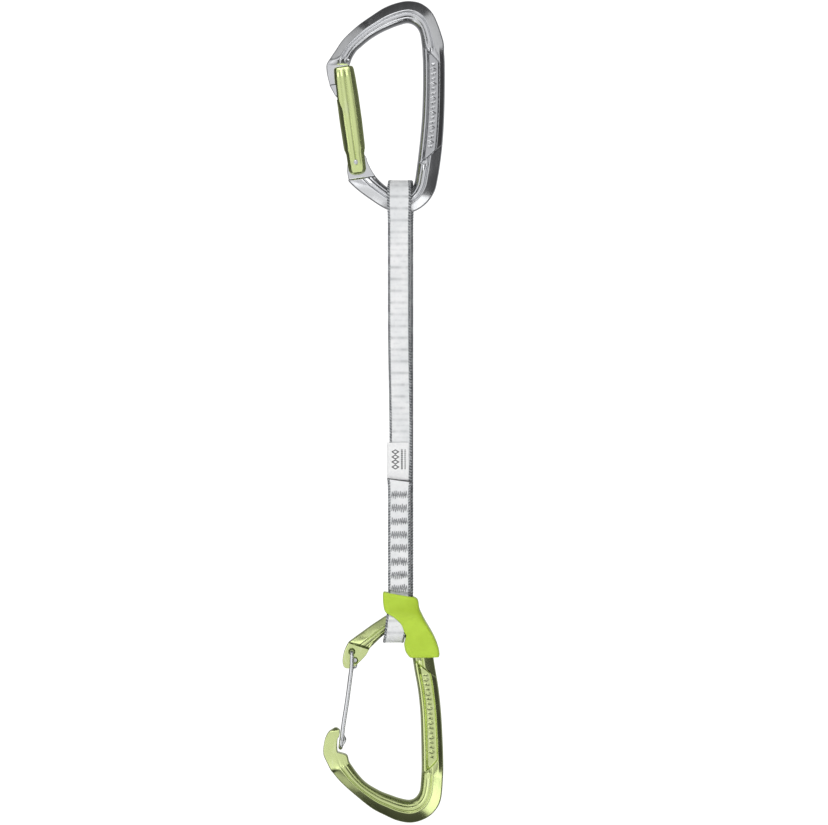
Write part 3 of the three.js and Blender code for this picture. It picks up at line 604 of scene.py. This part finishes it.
def label_cloth(name):
    """Fine satin label with a plain printed ornament: bold open diamonds and two lines of
    dashes. u is the distance round the label from its free edge, v its height, in mm."""
    made = Shader(name, (0.85, 0.85, 0.85), roughness=0.5, sheen=0.2)
    u, v = made.tape_uv()

    def near(value, centre, reach):
        return made.math("COMPARE", value, centre, reach)

    aside = made.math("ABSOLUTE", made.math("SUBTRACT", u, 6.3))
    cell = made.math("ABSOLUTE", made.math("SUBTRACT", made.math("PINGPONG", v, 2.4), 1.2))
    reach = made.math("ADD", made.times(aside, 0.62), cell)
    diamonds = near(reach, 0.95, 0.27)
    lines = made.math("MAXIMUM", near(u, 3.2, 0.42), near(u, 1.7, 0.25))
    dashes = made.times(near(made.math("PINGPONG", v, 0.5), 0.3, 0.18), lines)
    ink = made.times(made.math("MAXIMUM", diamonds, dashes), near(v, 9.6, 4.8))
    weft = made.math("SINE", made.times(v, 2 * math.pi / 0.32))
    grain = made.noise(1400)
    fibres = made.ramp(grain, at=(0.3, 0.7))
    cloth = made.mix(fibres, (0.86, 0.86, 0.85), (0.78, 0.785, 0.79))
    made.set("Base Color", made.mix(ink, cloth, (0.04, 0.042, 0.045)))
    first = made.bump(weft, 0.03, 0.5)
    made.bump(grain, 0.03, 0.4, after=first)
    return made.material


def sealed_edge_and_shadow(name):
    # Near black: the melted fibre's own darker colour together with painted shadow along the cut
    # end.
    made = Shader(name, (0.1, 0.1, 0.1), roughness=0.4)
    lumps = made.noise(900)
    made.set("Base Color", made.mix(lumps, (0.03, 0.032, 0.035), (0.12, 0.123, 0.126)))
    made.bump(lumps, 0.08, 0.8)
    return made.material


# The polished aluminium gets painted shade over its recessed panel.
SILVER = forged_metal(
    "polished_aluminium", (0.67, 0.68, 0.695), (0.82, 0.82, 0.82), 0.17, recess_shade=0.74
)
LEAF = forged_metal("green_anodised", (0.69, 0.79, 0.35), (0.8, 0.85, 0.58), 0.22)
LIME = forged_metal("lime_anodised", (0.64, 0.73, 0.33), (0.82, 0.86, 0.6), 0.19)
WIRE = steel("stainless_wire", 0.22)
PIN = steel("rivet_steel", 0.3)
TAPE = webbing("sling_webbing", ribbed=1.0)
SEWN_TAPE = webbing("sewn_webbing", ribbed=0.0)
THREAD = thread("tack_thread")
LABEL = label_cloth("label_satin")
SEALED_AND_SHADOW = sealed_edge_and_shadow("melted_fibre_and_shadow")
RUBBER = rubber("keeper_rubber")


def dress(obj, material, body, slot, *nodes):
    """Gives a piece its material, the body it rides and the nodes it replaces. Its slot is not
    used.
    """
    obj.data.materials.clear()
    obj.data.materials.append(material)
    if body:
        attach(obj, body)
    if nodes:
        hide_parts(*nodes)


# ---- Upper link ----

upper_link = forged_link("upper_body_forging", UPPER_CUTS + cam_cuts(), UPPER_PANEL)
dress(upper_link, SILVER, "upper_link", "polished_aluminium", "upper_body")


def gate_place(x, y, z):
    """From the gate's own frame, origin on its pivot, to the model's."""
    c, s = math.cos(GATE_TILT), math.sin(GATE_TILT)
    return (GATE_PIVOT[0] + x * c - z * s, y, GATE_PIVOT[1] + x * s + z * c)


# Height, half-width and half-depth along the gate bar.
GATE_SECTIONS = [
    (-5.8, 1.6, 3.6), (-5.5, 2.7, 4.1), (-4.9, 3.5, GATE_DEPTH), (-3.6, 4.2, GATE_DEPTH),
    (0, 4.35, GATE_DEPTH), (4.4, 4.4, GATE_DEPTH), (5.0, 4.6, GATE_DEPTH),
    (6.2, 4.95, GATE_DEPTH), (8.0, 5.1, GATE_DEPTH), (20, 5.35, GATE_DEPTH),
    (32, 5.3, GATE_DEPTH), (41, 5.0, GATE_DEPTH), (44.4, 4.75, 4.2), (45.4, 4.5, 4.0),
    (45.9, 4.1, 3.6), (GATE_TOP, 3.5, 3.0),
]
GATE_SHIFT = 0.3  # the bar sits a little towards the basket side of its hinge line

# A quarter of the gate bar's section, as shares of its half-width and half-depth: a flat
# front, a steep chamfer and a narrow side. The fork round the tongue is boxier, and so is
# the side that closes on the link's head.
GATE_QUARTER = [(0.0, 1.0), (0.57, 1.0), (0.87, 0.55), (1.0, 0.28), (1.0, 0.0)]
FORK_QUARTER = [(0.0, 1.0), (0.64, 1.0), (0.98, 0.58), (1.0, 0.45), (1.0, 0.0)]
HEAD_QUARTER = [(0.0, 1.0), (0.76, 1.0), (1.0, 0.70), (1.0, 0.4), (1.0, 0.0)]
# Heights between which the fork's section gives way to the bar's, and the bar's to the head's.
FORK_BLEND, HEAD_BLEND = (5, 9), (24, 31)


def gate_section(quarter, around):
    """A section evenly spaced round the gate bar, with its corners softened."""
    corners = quarter + [(x, -y) for x, y in reversed(quarter[:-1])]
    corners += [(-x, -y) for x, y in quarter[1:]] + [(-x, y) for x, y in reversed(quarter[1:-1])]
    corners = np.array(corners + corners[:1])
    along = distances(corners)
    at = np.linspace(0, along[-1], around, endpoint=False)
    points = np.stack([np.interp(at, along, corners[:, k]) for k in (0, 1)], axis=1)
    for _ in range(5):
        points = soften_ring(points)
    return points


def gate_rings(around=168, spacing=0.6):
    """Rings along the gate bar. Each face has two shallow lobes with a groove between."""
    heights = [s[0] for s in GATE_SECTIONS]
    rows = np.unique(np.concatenate([heights, np.arange(heights[0], GATE_TOP, spacing)]))
    quarters = (GATE_QUARTER, FORK_QUARTER, HEAD_QUARTER)
    middle, forked, headed = (gate_section(quarter, around) for quarter in quarters)
    headed = np.where(middle[:, :1] < 0, headed, middle)
    rings = []
    for z in rows:
        half_width = np.interp(z, heights, [s[1] for s in GATE_SECTIONS])
        half_depth = np.interp(z, heights, [s[2] for s in GATE_SECTIONS])
        fork, head = 1 - smooth(*FORK_BLEND, z), smooth(*HEAD_BLEND, z)
        x, y = (middle * (1 - fork - head) + forked * fork + headed * head).T
        length = float(smooth(-3, 0, z) * (1 - smooth(43.5, 45, z)))
        lobes = 0.065 * np.clip((np.abs(x) - 0.26) / 0.26, -1, 1) ** 2
        deep = half_depth * (1 - length * (lobes + 0.02 * np.exp(-((x / 0.05) ** 2))))
        across = half_width * x + GATE_SHIFT
        rings.append([gate_place(a, d * b, z) for a, b, d in zip(across, y, deep)])
    return rings


def gate_prism(name, outline, half):
    return prism(name, [gate_place(x, 0, z)[::2] for x, z in outline], half)


def gate_drill(radius, bottom, top):
    """A round cutter along the gate's axis."""
    rings = [
        [gate_place(radius * math.cos(a), radius * math.sin(a), z) for a in angles_round(24)]
        for z in (bottom, top)
    ]
    return skin("bore_cutter", rings)


gate_bar = skin("upper_gate_bar", gate_rings())
NECK = PLATE_HALF + CLEARANCE
BORE_RADIUS, BORE_TOP = 2.0, 24
carve(gate_bar, [
    gate_prism("hinge_slot", [(-9, -9), (9, -9), (9, 6.3), (-9, 6.3)], NECK),
    gate_prism(
        "neck_slot", [(-9, 48), (3.6, 48), (3.2, 44), (1.2, 39.5), (-1.2, 31.3), (-9, 29.9)], NECK
    ),
    gate_prism(
        "head_pocket", [(-9, 38.2), (0.4, 38.2), (-1.0, 31.3), (-9, 29.9)], HEAD_HALF + CLEARANCE
    ),
    gate_drill(BORE_RADIUS, -1, BORE_TOP),
])
shade(gate_bar.data, 32)
dress(gate_bar, LEAF, "upper_gate_set", "green_anodised", "upper_gate")


def turned(name, profile, centre, around=40):
    """A turned pin across the link: radius and y pairs, from one end to the other."""
    x, z = centre
    rings = [
        [(x + r * math.cos(a), y, z + r * math.sin(a)) for a in angles_round(around)]
        for r, y in profile
    ]
    return skin(name, rings, sharp=30)


# Radius, and how far past the gate bar's face.
RIVET_HEAD = [(0.35, 0.12), (0.8, 0.06), (1.15, -0.1), (1.25, -0.35), (1.2, -0.45)]
rivet_profile = [(r, -(GATE_DEPTH + h)) for r, h in RIVET_HEAD]
rivet_profile += [(r, -y) for r, y in reversed(rivet_profile)]
rivet = turned("upper_gate_rivet_domed", rivet_profile, GATE_PIVOT)
dress(rivet, PIN, "upper_gate_set", "steel", "upper_gate_rivet")

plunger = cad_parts["upper_gate_plunger"]
plunger.data.materials.clear()
plunger.data.materials.append(PIN)

# ---- Lower link ----

FRONT_FOOT = (-27.6, -70.8)
BACK_FOOT = (-26.2, -66.5)
# A countersunk hole for a foot of the wire: radius and y.
HOLE_PROFILE = [(1.75, -3), (1.75, -2.1), (1.03, -1.1), (1.03, 1.1), (1.75, 2.1), (1.75, 3)]

lower_link = forged_link("lower_body_forging", LOWER_CUTS, LOWER_PANEL)
carve(lower_link, [turned("foot_hole", HOLE_PROFILE, foot) for foot in (FRONT_FOOT, BACK_FOOT)])
turn_over(lower_link)
face_outwards(lower_link.data)
shade(lower_link.data, LINK_SHARP)
dress(lower_link, LIME, "lower_link", "lime_anodised", "lower_body")

WIRE_RADIUS = 1.0
SPREAD_HINGE = PLATE_HALF + CLEARANCE + WIRE_RADIUS
WIRE_LEG = [(-27.9, -61.8), (-29.8, -47.5), (-31.3, -38.0), (-32.2, -31.0)]
KINK = 1.3  # how far the back leg steps aside just before the closed end


def wire_route():
    """From the front foot round the closed end to the back foot, in the link's frame."""
    def side(foot, way):
        spread = [SPREAD_HINGE + (2.1 - SPREAD_HINGE) * k / 3 for k in range(4)]
        kink = KINK if way < 0 else 0
        return [
            (foot[0], -way * 0.2, foot[1]),
            (foot[0], way * (PLATE_HALF + 0.2), foot[1]),
            (foot[0], way * SPREAD_HINGE, foot[1] + 1.3),
            (foot[0], way * SPREAD_HINGE, foot[1] + 3.2),
            *[(x, way * s, z) for (x, z), s in zip(WIRE_LEG, spread)],
            (-32.6 + kink, way * 1.7, -28.6),
            (-32.9 + 0.2 * kink, way * 1.3, -26.0),
        ]

    return side(FRONT_FOOT, 1) + [(-33.0, 0, -24.9)] + side(BACK_FOOT, -1)[::-1]


def tube(name, route, radius, around=16, samples=12):
    """A round tube along a smooth curve through the route's points."""
    at = np.linspace(0, len(route) - 1, (len(route) - 1) * samples + 1)
    path = through(route, at)
    along = unit(np.gradient(path, axis=0))
    side = np.cross(along[0], (0.3, 0.2, 0.9))
    rings = []
    for point, run in zip(path, along):
        side = side - run * np.dot(side, run)
        side /= np.linalg.norm(side)
        up = np.cross(run, side)
        angles = 2 * np.pi * np.arange(around) / around
        rings.append(
            point + radius * (np.cos(angles)[:, None] * side + np.sin(angles)[:, None] * up)
        )
    return skin(name, rings, sharp=60)


SPRING_BOTTOM, SPRING_TOP, SPRING_RADIUS, SPRING_TURNS = 10.6, 23.4, 1.3, 7
SPRING_WIRE = 0.22  # radius


def gate_spring():
    """The coil in the gate's bore, between the plunger's shoulder and the bore's end."""
    steps = 14 * SPRING_TURNS
    route = []
    for k in range(steps + 1):
        angle = 2 * math.pi * SPRING_TURNS * k / steps
        height = SPRING_BOTTOM + (SPRING_TOP - SPRING_BOTTOM) * k / steps
        x, y = SPRING_RADIUS * math.cos(angle), SPRING_RADIUS * math.sin(angle)
        route.append(gate_place(x, y, height))
    return tube("upper_gate_coil", route, SPRING_WIRE, around=8, samples=2)


coil = gate_spring()
dress(coil, WIRE, "upper_gate_set", "steel", "upper_gate_spring")
# It shortens as the opening gate lifts the plunger.
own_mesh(coil)

wire = tube("lower_wire_gate_bent", wire_route(), WIRE_RADIUS)
turn_over(wire)
face_outwards(wire.data)
dress(wire, WIRE, None, "steel", "lower_wire_gate")
# The feet stay in their holes and the wire twists just past them as the gate opens.
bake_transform(wire)

# ---- Sling ----

FRONT_X, BACK_X = -4.15, -2.8  # middles of the two legs, which lie a little askew
LEAN_START, LEAN = -268.0, 0.0042  # below this the sling leans to the left, ever more


def tape_middle(y, z):
    """Where the middle of the tape lies across the sling. The front leg sways a little, and
    the two legs come into line where the tape turns under the lower link."""
    front = FRONT_X + 0.75 * smooth(-140, -200, z) - 0.65 * smooth(-205, -222, z)
    leg = front + (BACK_X - front) * smooth(-1.0, 1.0, y) * (1 - smooth(-281, -290, z))
    return leg - LEAN * np.minimum(0, z - LEAN_START) ** 2


def tape_spread(z):
    """How much wider the tape is than usual: spread over the link, gathered at the foot."""
    over_the_link = 0.06 * smooth(-96, -84, z) - 0.07 * smooth(-79, -75.3, z)
    return 1 + over_the_link - 0.07 * smooth(-283, -293, z)


def loop_route():
    """The tape's middle line in y and z: up the front, over, down the back, and under."""
    def arc(eye, way):
        turn = np.radians(np.arange(0, 181, 6))
        return np.stack([-eye[1] * np.cos(turn), eye[0] + way * eye[1] * np.sin(turn)], axis=1)

    shoulder = (LOWER_EYE[1], LOWER_EYE[0] + 5.2)
    front = [(-shoulder[0], shoulder[1]), (-LEG_Y, SEWN_BOTTOM), (-LEG_Y, -184.0)]
    over = arc(UPPER_EYE, 1)
    back = [(-y, z) for y, z in reversed(front)]
    under = arc(LOWER_EYE, -1)[::-1]
    return np.concatenate([front, over, back, under])


def spaced(route, spacing, closed):
    """Points at even distances along a route, with its corners softened."""
    if closed:
        route = np.concatenate([route, route[:1]])
    along = distances(route)
    count = int(along[-1] / spacing)
    at = np.linspace(0, along[-1], count, endpoint=not closed)
    fine = np.stack([np.interp(at, along, route[:, k]) for k in (0, 1)], axis=1)
    for _ in range(16):
        if closed:
            fine = soften_ring(fine)
        else:
            fine[1:-1] = (fine[:-2] + 2 * fine[1:-1] + fine[2:]) / 4
    return fine, at


def tape_section(count=22):
    """Around the tape: across from -1 to 1 and through from -1 to 1, with beaded edges."""
    across = np.sin(np.linspace(-np.pi / 2, np.pi / 2, count))
    bead = 0.86 + 0.14 * smooth(0.76, 0.84, np.abs(across))
    through_side = bead * (1 - np.abs(across) ** 26) ** 0.5
    front = np.stack([across, -through_side], axis=1)
    back = np.stack([across[::-1], through_side[::-1]], axis=1)[1:-1]
    return np.concatenate([front, back])


def tape_piece(name, route, closed, spread, shift=0.0, slope=0.0, ribs=0.12):
    """Sweeps the tape's section along a route in y and z. slope slants its ends, and ribs
    is how far the woven ribs pinch it."""
    line, at = spaced(np.asarray(route, float), 0.45, closed)
    if closed:
        run = unit(np.roll(line, -1, axis=0) - np.roll(line, 1, axis=0))
    else:
        run = unit(np.gradient(line, axis=0))
    section = tape_section()
    rib = 1 - ribs * np.abs(np.cos(np.pi * at / RIB_PITCH)) ** 10
    scallop = 0.012 * np.sin(2 * np.pi * at / 1.35)
    outer = np.abs(section[:, 0]) > 0.8
    wide = spread(line[:, 1])[:, None] * (1 + scallop[:, None] * outer) * TAPE_WIDTH / 2
    across = section[:, 0] * wide
    x = tape_middle(line[:, 0], line[:, 1])[:, None] + shift + across
    off = section[:, 1] * TAPE_THICK / 2 * rib[:, None]
    y = line[:, :1] - off * run[:, 1:]
    z = line[:, 1:] + off * run[:, :1] + slope * across
    obj = skin(name, np.stack([x, y, z], axis=-1), closed, sharp=70)
    add_uv(obj, (section[:, 0] + 1) / 2, at / TAPE_WIDTH)
    return obj


def add_uv(obj, around, along):
    """Gives cloth made by skin its coordinates: one round each ring, one from ring to ring."""
    u, v = np.tile(around, len(along)), np.repeat(along, len(around))
    layer = obj.data.uv_layers.new(name="tape")
    for loop in obj.data.loops:
        layer.data[loop.index].uv = (u[loop.vertex_index], v[loop.vertex_index])


loop = tape_piece("sling_webbing_loop", loop_route(), closed=True, spread=tape_spread)
dress(loop, TAPE, None, "webbing", "sling_tape_upper", "sling_tape_lower")
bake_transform(loop)

TAPE_FRONT = LEG_Y + 0.9  # the outside of the two sewn legs
END_Y = -(TAPE_FRONT + 1.0)  # middle of the free end, which lies on the front leg
END_SHIFT = -0.05
END_SLOPE = -0.14
END_FLARE = 0.1


def end_spread(z):
    """The heat-cut end flares a little."""
    return 1 + END_FLARE * np.exp((z - TAPE_END_TOP) / 2.2)


end_route = [
    (END_Y - 0.25, TAPE_END_TOP),
    (END_Y - 0.1, TAPE_END_TOP - 4),
    (END_Y, SEWN_BOTTOM + 1.2),
]
tape_end = tape_piece(
    "sling_tape_free_end", end_route, closed=False, spread=end_spread,
    shift=END_SHIFT, slope=END_SLOPE, ribs=0,
)
dress(tape_end, SEWN_TAPE, "sling_bottom", "webbing", "sling_tape_end")


def melted_edge():
    """The bead of melted fibre along the tape's cut end, darkened further as painted shadow."""
    middle = float(tape_middle(END_Y, TAPE_END_TOP)) + END_SHIFT
    half = TAPE_WIDTH / 2 * (1 + END_FLARE)
    route = []
    for k in range(-6, 7):
        across = half * k / 6
        y = END_Y - 0.55 + 0.04 * (k % 2)
        route.append((middle + across, y, TAPE_END_TOP + 0.1 + END_SLOPE * across))
    return tube("sling_tape_melted_edge", route, 0.42, around=10, samples=4)


def folded_label():
    """A thin band folded round the tape's outer edge, its two ends short of the far edge."""
    inside, thick, radius = TAPE_FRONT + 0.12, 0.34, 0.9
    left, right = -9.5, 0.35
    turn = np.radians(np.arange(0, 91, 15))
    corner = [
        (left + radius * (1 - math.sin(a)), inside - radius * (1 - math.cos(a))) for a in turn
    ]
    straight = np.linspace((right, inside), corner[0], 16)
    front = [(x, -y) for x, y in np.concatenate([straight, corner])]
    line = np.array(front + [(x, -y) for x, y in reversed(front)])
    run = unit(np.gradient(line, axis=0))
    normal = np.stack([run[:, 1], -run[:, 0]], axis=1)
    top, bottom = -199.5, TAPE_END_TOP + 0.5
    heights = np.linspace(bottom, top, 36)
    outer = line - normal * thick
    profile = np.concatenate([line, outer[::-1]])
    edge = distances(line)
    u = np.concatenate([edge, edge[::-1]])
    rings = [[(x, y * (1 + 0.02 * math.sin(h)), h) for x, y in profile] for h in heights]
    obj = skin("sling_label_folded", rings, sharp=50)
    add_uv(obj, u, heights - bottom)
    return obj, edge[-1], top - bottom


dress(melted_edge(), SEALED_AND_SHADOW, "sling_bottom", "webbing")
label, label_width, label_height = folded_label()
dress(label, LABEL, "sling_bottom", "label", "sling_label")

# ---- Bar tacks ----

TACKS = 8
TACK_X, TACK_TOP, TACK_PITCH = -4.1, -224.2, 6.35
TACK_WIDTH, THREAD_RADIUS = 7.6, 0.15
TACK_PASSES = [(8, 1.95), (10, 0.6)]  # needle strokes to a row, and how far they reach


def zigzag(y, z, peaks, rise):
    """One pass of the needle across the tape, as points on the given face."""
    count = 2 * peaks
    dip = 0.2 if y < 0 else -0.2
    points = []
    for k in range(count + 1):
        x = TACK_X + TACK_WIDTH * (k / count - 0.5) + rng.uniform(-0.07, 0.07)
        reach = rise * (1 if k % 2 else -1) * rng.uniform(0.65, 1.1)
        points.append((x, y + dip, z + reach))
        points.append((x + TACK_WIDTH / count / 2, y, z + reach * 0.05))
    return points[:-1]


def bar_tack(row):
    """The threads of one tack, on the free end in front and on the back leg behind."""
    z = TACK_TOP - row * TACK_PITCH
    faces_y = (-(TAPE_FRONT + 1.92 + THREAD_RADIUS / 2), TAPE_FRONT - 0.02 + THREAD_RADIUS / 2)
    passes = [
        tube("tack_pass", zigzag(y, z, peaks, rise), THREAD_RADIUS, around=6, samples=4)
        for y in faces_y for peaks, rise in TACK_PASSES
    ]
    first = passes[0]
    with bpy.context.temp_override(active_object=first, selected_editable_objects=passes):
        bpy.ops.object.join()
    first.name = f"bar_tack_thread_{row + 1}"
    return first


for row in range(TACKS):
    dress(bar_tack(row), THREAD, "sling_bottom", "thread", f"bar_tack_{row + 1}")

# ---- Keeper ----

# Rings down the moulding: left point, right point, half depth.
KEEPER_RINGS = [
    ((-11.4, -270.5), (3.2, -273.0), 4.7),
    ((-11.8, -270.9), (4.4, -273.8), 4.9),
    ((-11.9, -272.2), (5.0, -275.1), 5.2),
    ((-11.7, -276.2), (5.5, -278.4), 6.8),
    ((-10.6, -279.9), (6.7, -281.2), 8.3),
    ((-6.9, -282.3), (8.2, -284.1), 9.0),
    ((-3.7, -285.3), (9.9, -287.0), 9.0),
    ((-2.4, -289.6), (11.8, -290.3), 8.4),
    ((-2.0, -294.0), (13.5, -293.9), 7.5),
    ((-1.2, -298.4), (14.8, -298.0), 6.6),
    ((0.4, -300.9), (15.0, -300.4), 6.5),
    ((1.1, -301.5), (14.6, -301.3), 6.1),
]
KEEPER_SQUARENESS = 9.0  # how boxy each ring is: 2 would be an ellipse
KEEPER_ROWS, KEEPER_AROUND = 110, 88


def keeper_solid():
    at = np.linspace(0, len(KEEPER_RINGS) - 1, KEEPER_ROWS)
    left = through([r[0] for r in KEEPER_RINGS], at)
    right = through([r[1] for r in KEEPER_RINGS], at)
    depth = through([[r[2]] for r in KEEPER_RINGS], at)
    angle = 2 * np.pi * (np.arange(KEEPER_AROUND) + 0.5) / KEEPER_AROUND
    cosine, sine = np.cos(angle), np.sin(angle)
    reach = (np.abs(cosine) ** KEEPER_SQUARENESS + np.abs(sine) ** KEEPER_SQUARENESS)
    reach = reach ** (-1 / KEEPER_SQUARENESS)
    share = (cosine * reach + 1) / 2
    flat = left[:, None] + share[:, None] * (right - left)[:, None]
    rings = np.stack([flat[..., 0], depth * sine * reach, flat[..., 1]], axis=-1)
    return skin("keeper_moulding", rings, sharp=50)


def tape_passage():
    """The space of the tape and the bar inside it, down through the keeper."""
    half = TAPE_WIDTH / 2 + CLEARANCE
    levels = [(-267.0, 4.1), (-272.0, 4.1), (-281.6, 8.1), (-305.0, 8.1)]  # z and half-depth
    corners = [(-1, -1), (1, -1), (1, 1), (-1, 1)]
    rings = [
        [(float(tape_middle(0.0, z)) + i * half, j * deep, z) for i, j in corners]
        for z, deep in levels
    ]
    return skin("passage_cutter", rings)


def link_cutter():
    """A slightly fat, coarse copy of the lower link."""
    cutter = forged_link("link_cutter", LOWER_CUTS, LOWER_PANEL, spacing=3.0, columns=14)
    turn_over(cutter)
    for vertex in cutter.data.vertices:
        vertex.co.y += math.copysign(0.25 * MM, vertex.co.y)
    face_outwards(cutter.data)
    return cutter


keeper = keeper_solid()
carve(keeper, [tape_passage(), link_cutter()])
shade(keeper.data, 40)
dress(keeper, RUBBER, None, "rubber", "keeper")
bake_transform(keeper)

# ---- Camera, floor and light ----

# The camera looks straight along +Y at the middle of the hanging draw.
VIEW_WIDTH = 394.1  # millimetres across the frame at the draw
VIEW_CENTRE = (2.9, -185.2)
DISTANCE = 1.35  # metres
SENSOR = 36
camera_data = bpy.data.cameras.new("camera")
camera_data.sensor_width = SENSOR
camera_data.lens = SENSOR * DISTANCE / (VIEW_WIDTH * MM)
camera = bpy.data.objects.new("camera", camera_data)
camera.location = (VIEW_CENTRE[0] * MM, -DISTANCE, VIEW_CENTRE[1] * MM)
camera.rotation_euler = (math.pi / 2, 0, 0)
bpy.context.scene.collection.objects.link(camera)
bpy.context.scene.camera = camera

FLOOR_Z = -0.62  # metres
FLOOR_RADIUS = 1500


def floor():
    """A round pale floor, far enough down to be out of the photograph's view."""
    rings, around = 12, 64
    points = [(0, 0, 0)]
    for r in range(1, rings + 1):
        for a in angles_round(around):
            radius = FLOOR_RADIUS * r / rings
            points.append((radius * math.cos(a), radius * math.sin(a), 0))
    faces = [(0, 1 + k, 1 + (k + 1) % around) for k in range(around)]
    for r in range(rings - 1):
        for k in range(around):
            a, b = 1 + r * around + k, 1 + r * around + (k + 1) % around
            faces.append((a, a + around, b + around, b))
    obj = make_object("floor", points, faces)
    obj.location.z = FLOOR_Z
    made = Shader("floor_paint", (0.8, 0.8, 0.8), roughness=0.8)
    grain = made.noise(60)
    made.set("Base Color", made.mix(grain, (0.82, 0.82, 0.82), (0.78, 0.78, 0.78)))
    made.bsdf.inputs["Emission Color"].default_value = (1, 1, 1, 1)
    made.bsdf.inputs["Emission Strength"].default_value = 0.3
    obj.data.materials.append(made.material)
    obj.visible_glossy = False  # the metal reflects the dark flags instead


floor()


def softbox(name, place, size, power, reflected):
    """A rectangular light that faces the middle of the draw, placed in metres."""
    data = bpy.data.lights.new(name, "AREA")
    data.shape = "RECTANGLE"
    data.size, data.size_y = size
    data.energy = power
    obj = bpy.data.objects.new(name, data)
    obj.location = place
    target = Vector((VIEW_CENTRE[0] * MM, 0, VIEW_CENTRE[1] * MM))
    obj.rotation_euler = (target - Vector(place)).to_track_quat("-Z", "Y").to_euler()
    obj.visible_camera = False
    obj.visible_glossy = reflected
    bpy.context.scene.collection.objects.link(obj)


# Name, place, size, power, and whether the metal reflects it.
LIGHTS = [
    ("left_bank", (-0.22, -0.2, -0.3), (0.36, 0.26), 0.25, True),
    ("arm_box", (-0.24, -0.165, -0.08), (0.12, 0.12), 0.045, True),
    ("top_bank", (-0.2, -1.0, 0.6), (0.6, 0.5), 1.6, True),
    ("upper_right_box", (0.43, -0.25, 0.2), (0.3, 0.36), 0.22, True),
    ("lower_right_box", (0.45, -0.24, -0.62), (0.3, 0.5), 0.75, True),
    ("upper_left_box", (-0.42, -0.13, 0.3), (0.24, 0.3), 0.13, True),
    ("lower_left_box", (-0.42, -0.13, -0.66), (0.24, 0.3), 0.14, True),
    ("key", (-0.25, -1.3, 0.8), (0.6, 0.5), 8.5, False),
    ("back_fill", (0.3, 1.3, 0.4), (0.6, 0.5), 5.5, False),
]
for light in LIGHTS:
    softbox(*light)


def studio_world():
    """A pale studio: white behind the draw, a bright wall behind the camera, and dark
    flags between them, which polished metal shows as dark bands."""
    world = bpy.data.worlds.new("studio")
    bpy.context.scene.world = world
    world.use_nodes = True
    nodes, links = world.node_tree.nodes, world.node_tree.links
    surround = nodes["Background"]
    direction = nodes.new("ShaderNodeTexCoord").outputs["Generated"]
    split = nodes.new("ShaderNodeSeparateXYZ")
    links.new(direction, split.inputs[0])
    ramp = nodes.new("ShaderNodeValToRGB")
    ramp.color_ramp.interpolation = "EASE"
    # From straight behind the camera (0) to straight ahead of it (1), and how bright.
    stops = [
        (0, 0.88), (0.07, 0.78), (0.19, 0.12), (0.5, 0.05), (0.62, 0.07), (0.75, 0.22), (1, 0.45),
    ]
    elements = ramp.color_ramp.elements
    while len(elements) < len(stops):
        elements.new(0.5)
    for element, (at, level) in zip(elements, stops):
        element.position = at
        element.color = (level, level, level * 1.02, 1)
    ahead = nodes.new("ShaderNodeMapRange")
    ahead.inputs["From Min"].default_value = -1.0
    ahead.inputs["From Max"].default_value = 1.0
    links.new(split.outputs[1], ahead.inputs["Value"])
    links.new(ahead.outputs[0], ramp.inputs[0])
    links.new(ramp.outputs[0], surround.inputs["Color"])
    backdrop = nodes.new("ShaderNodeBackground")
    backdrop.inputs["Color"].default_value = (1, 1, 1, 1)
    backdrop.inputs["Strength"].default_value = 1.15
    path = nodes.new("ShaderNodeLightPath")
    choose = nodes.new("ShaderNodeMixShader")
    links.new(path.outputs["Is Camera Ray"], choose.inputs[0])
    links.new(surround.outputs[0], choose.inputs[1])
    links.new(backdrop.outputs[0], choose.inputs[2])
    links.new(choose.outputs[0], nodes["World Output"].inputs["Surface"])


studio_world()
bpy.context.scene.view_settings.view_transform = "Standard"
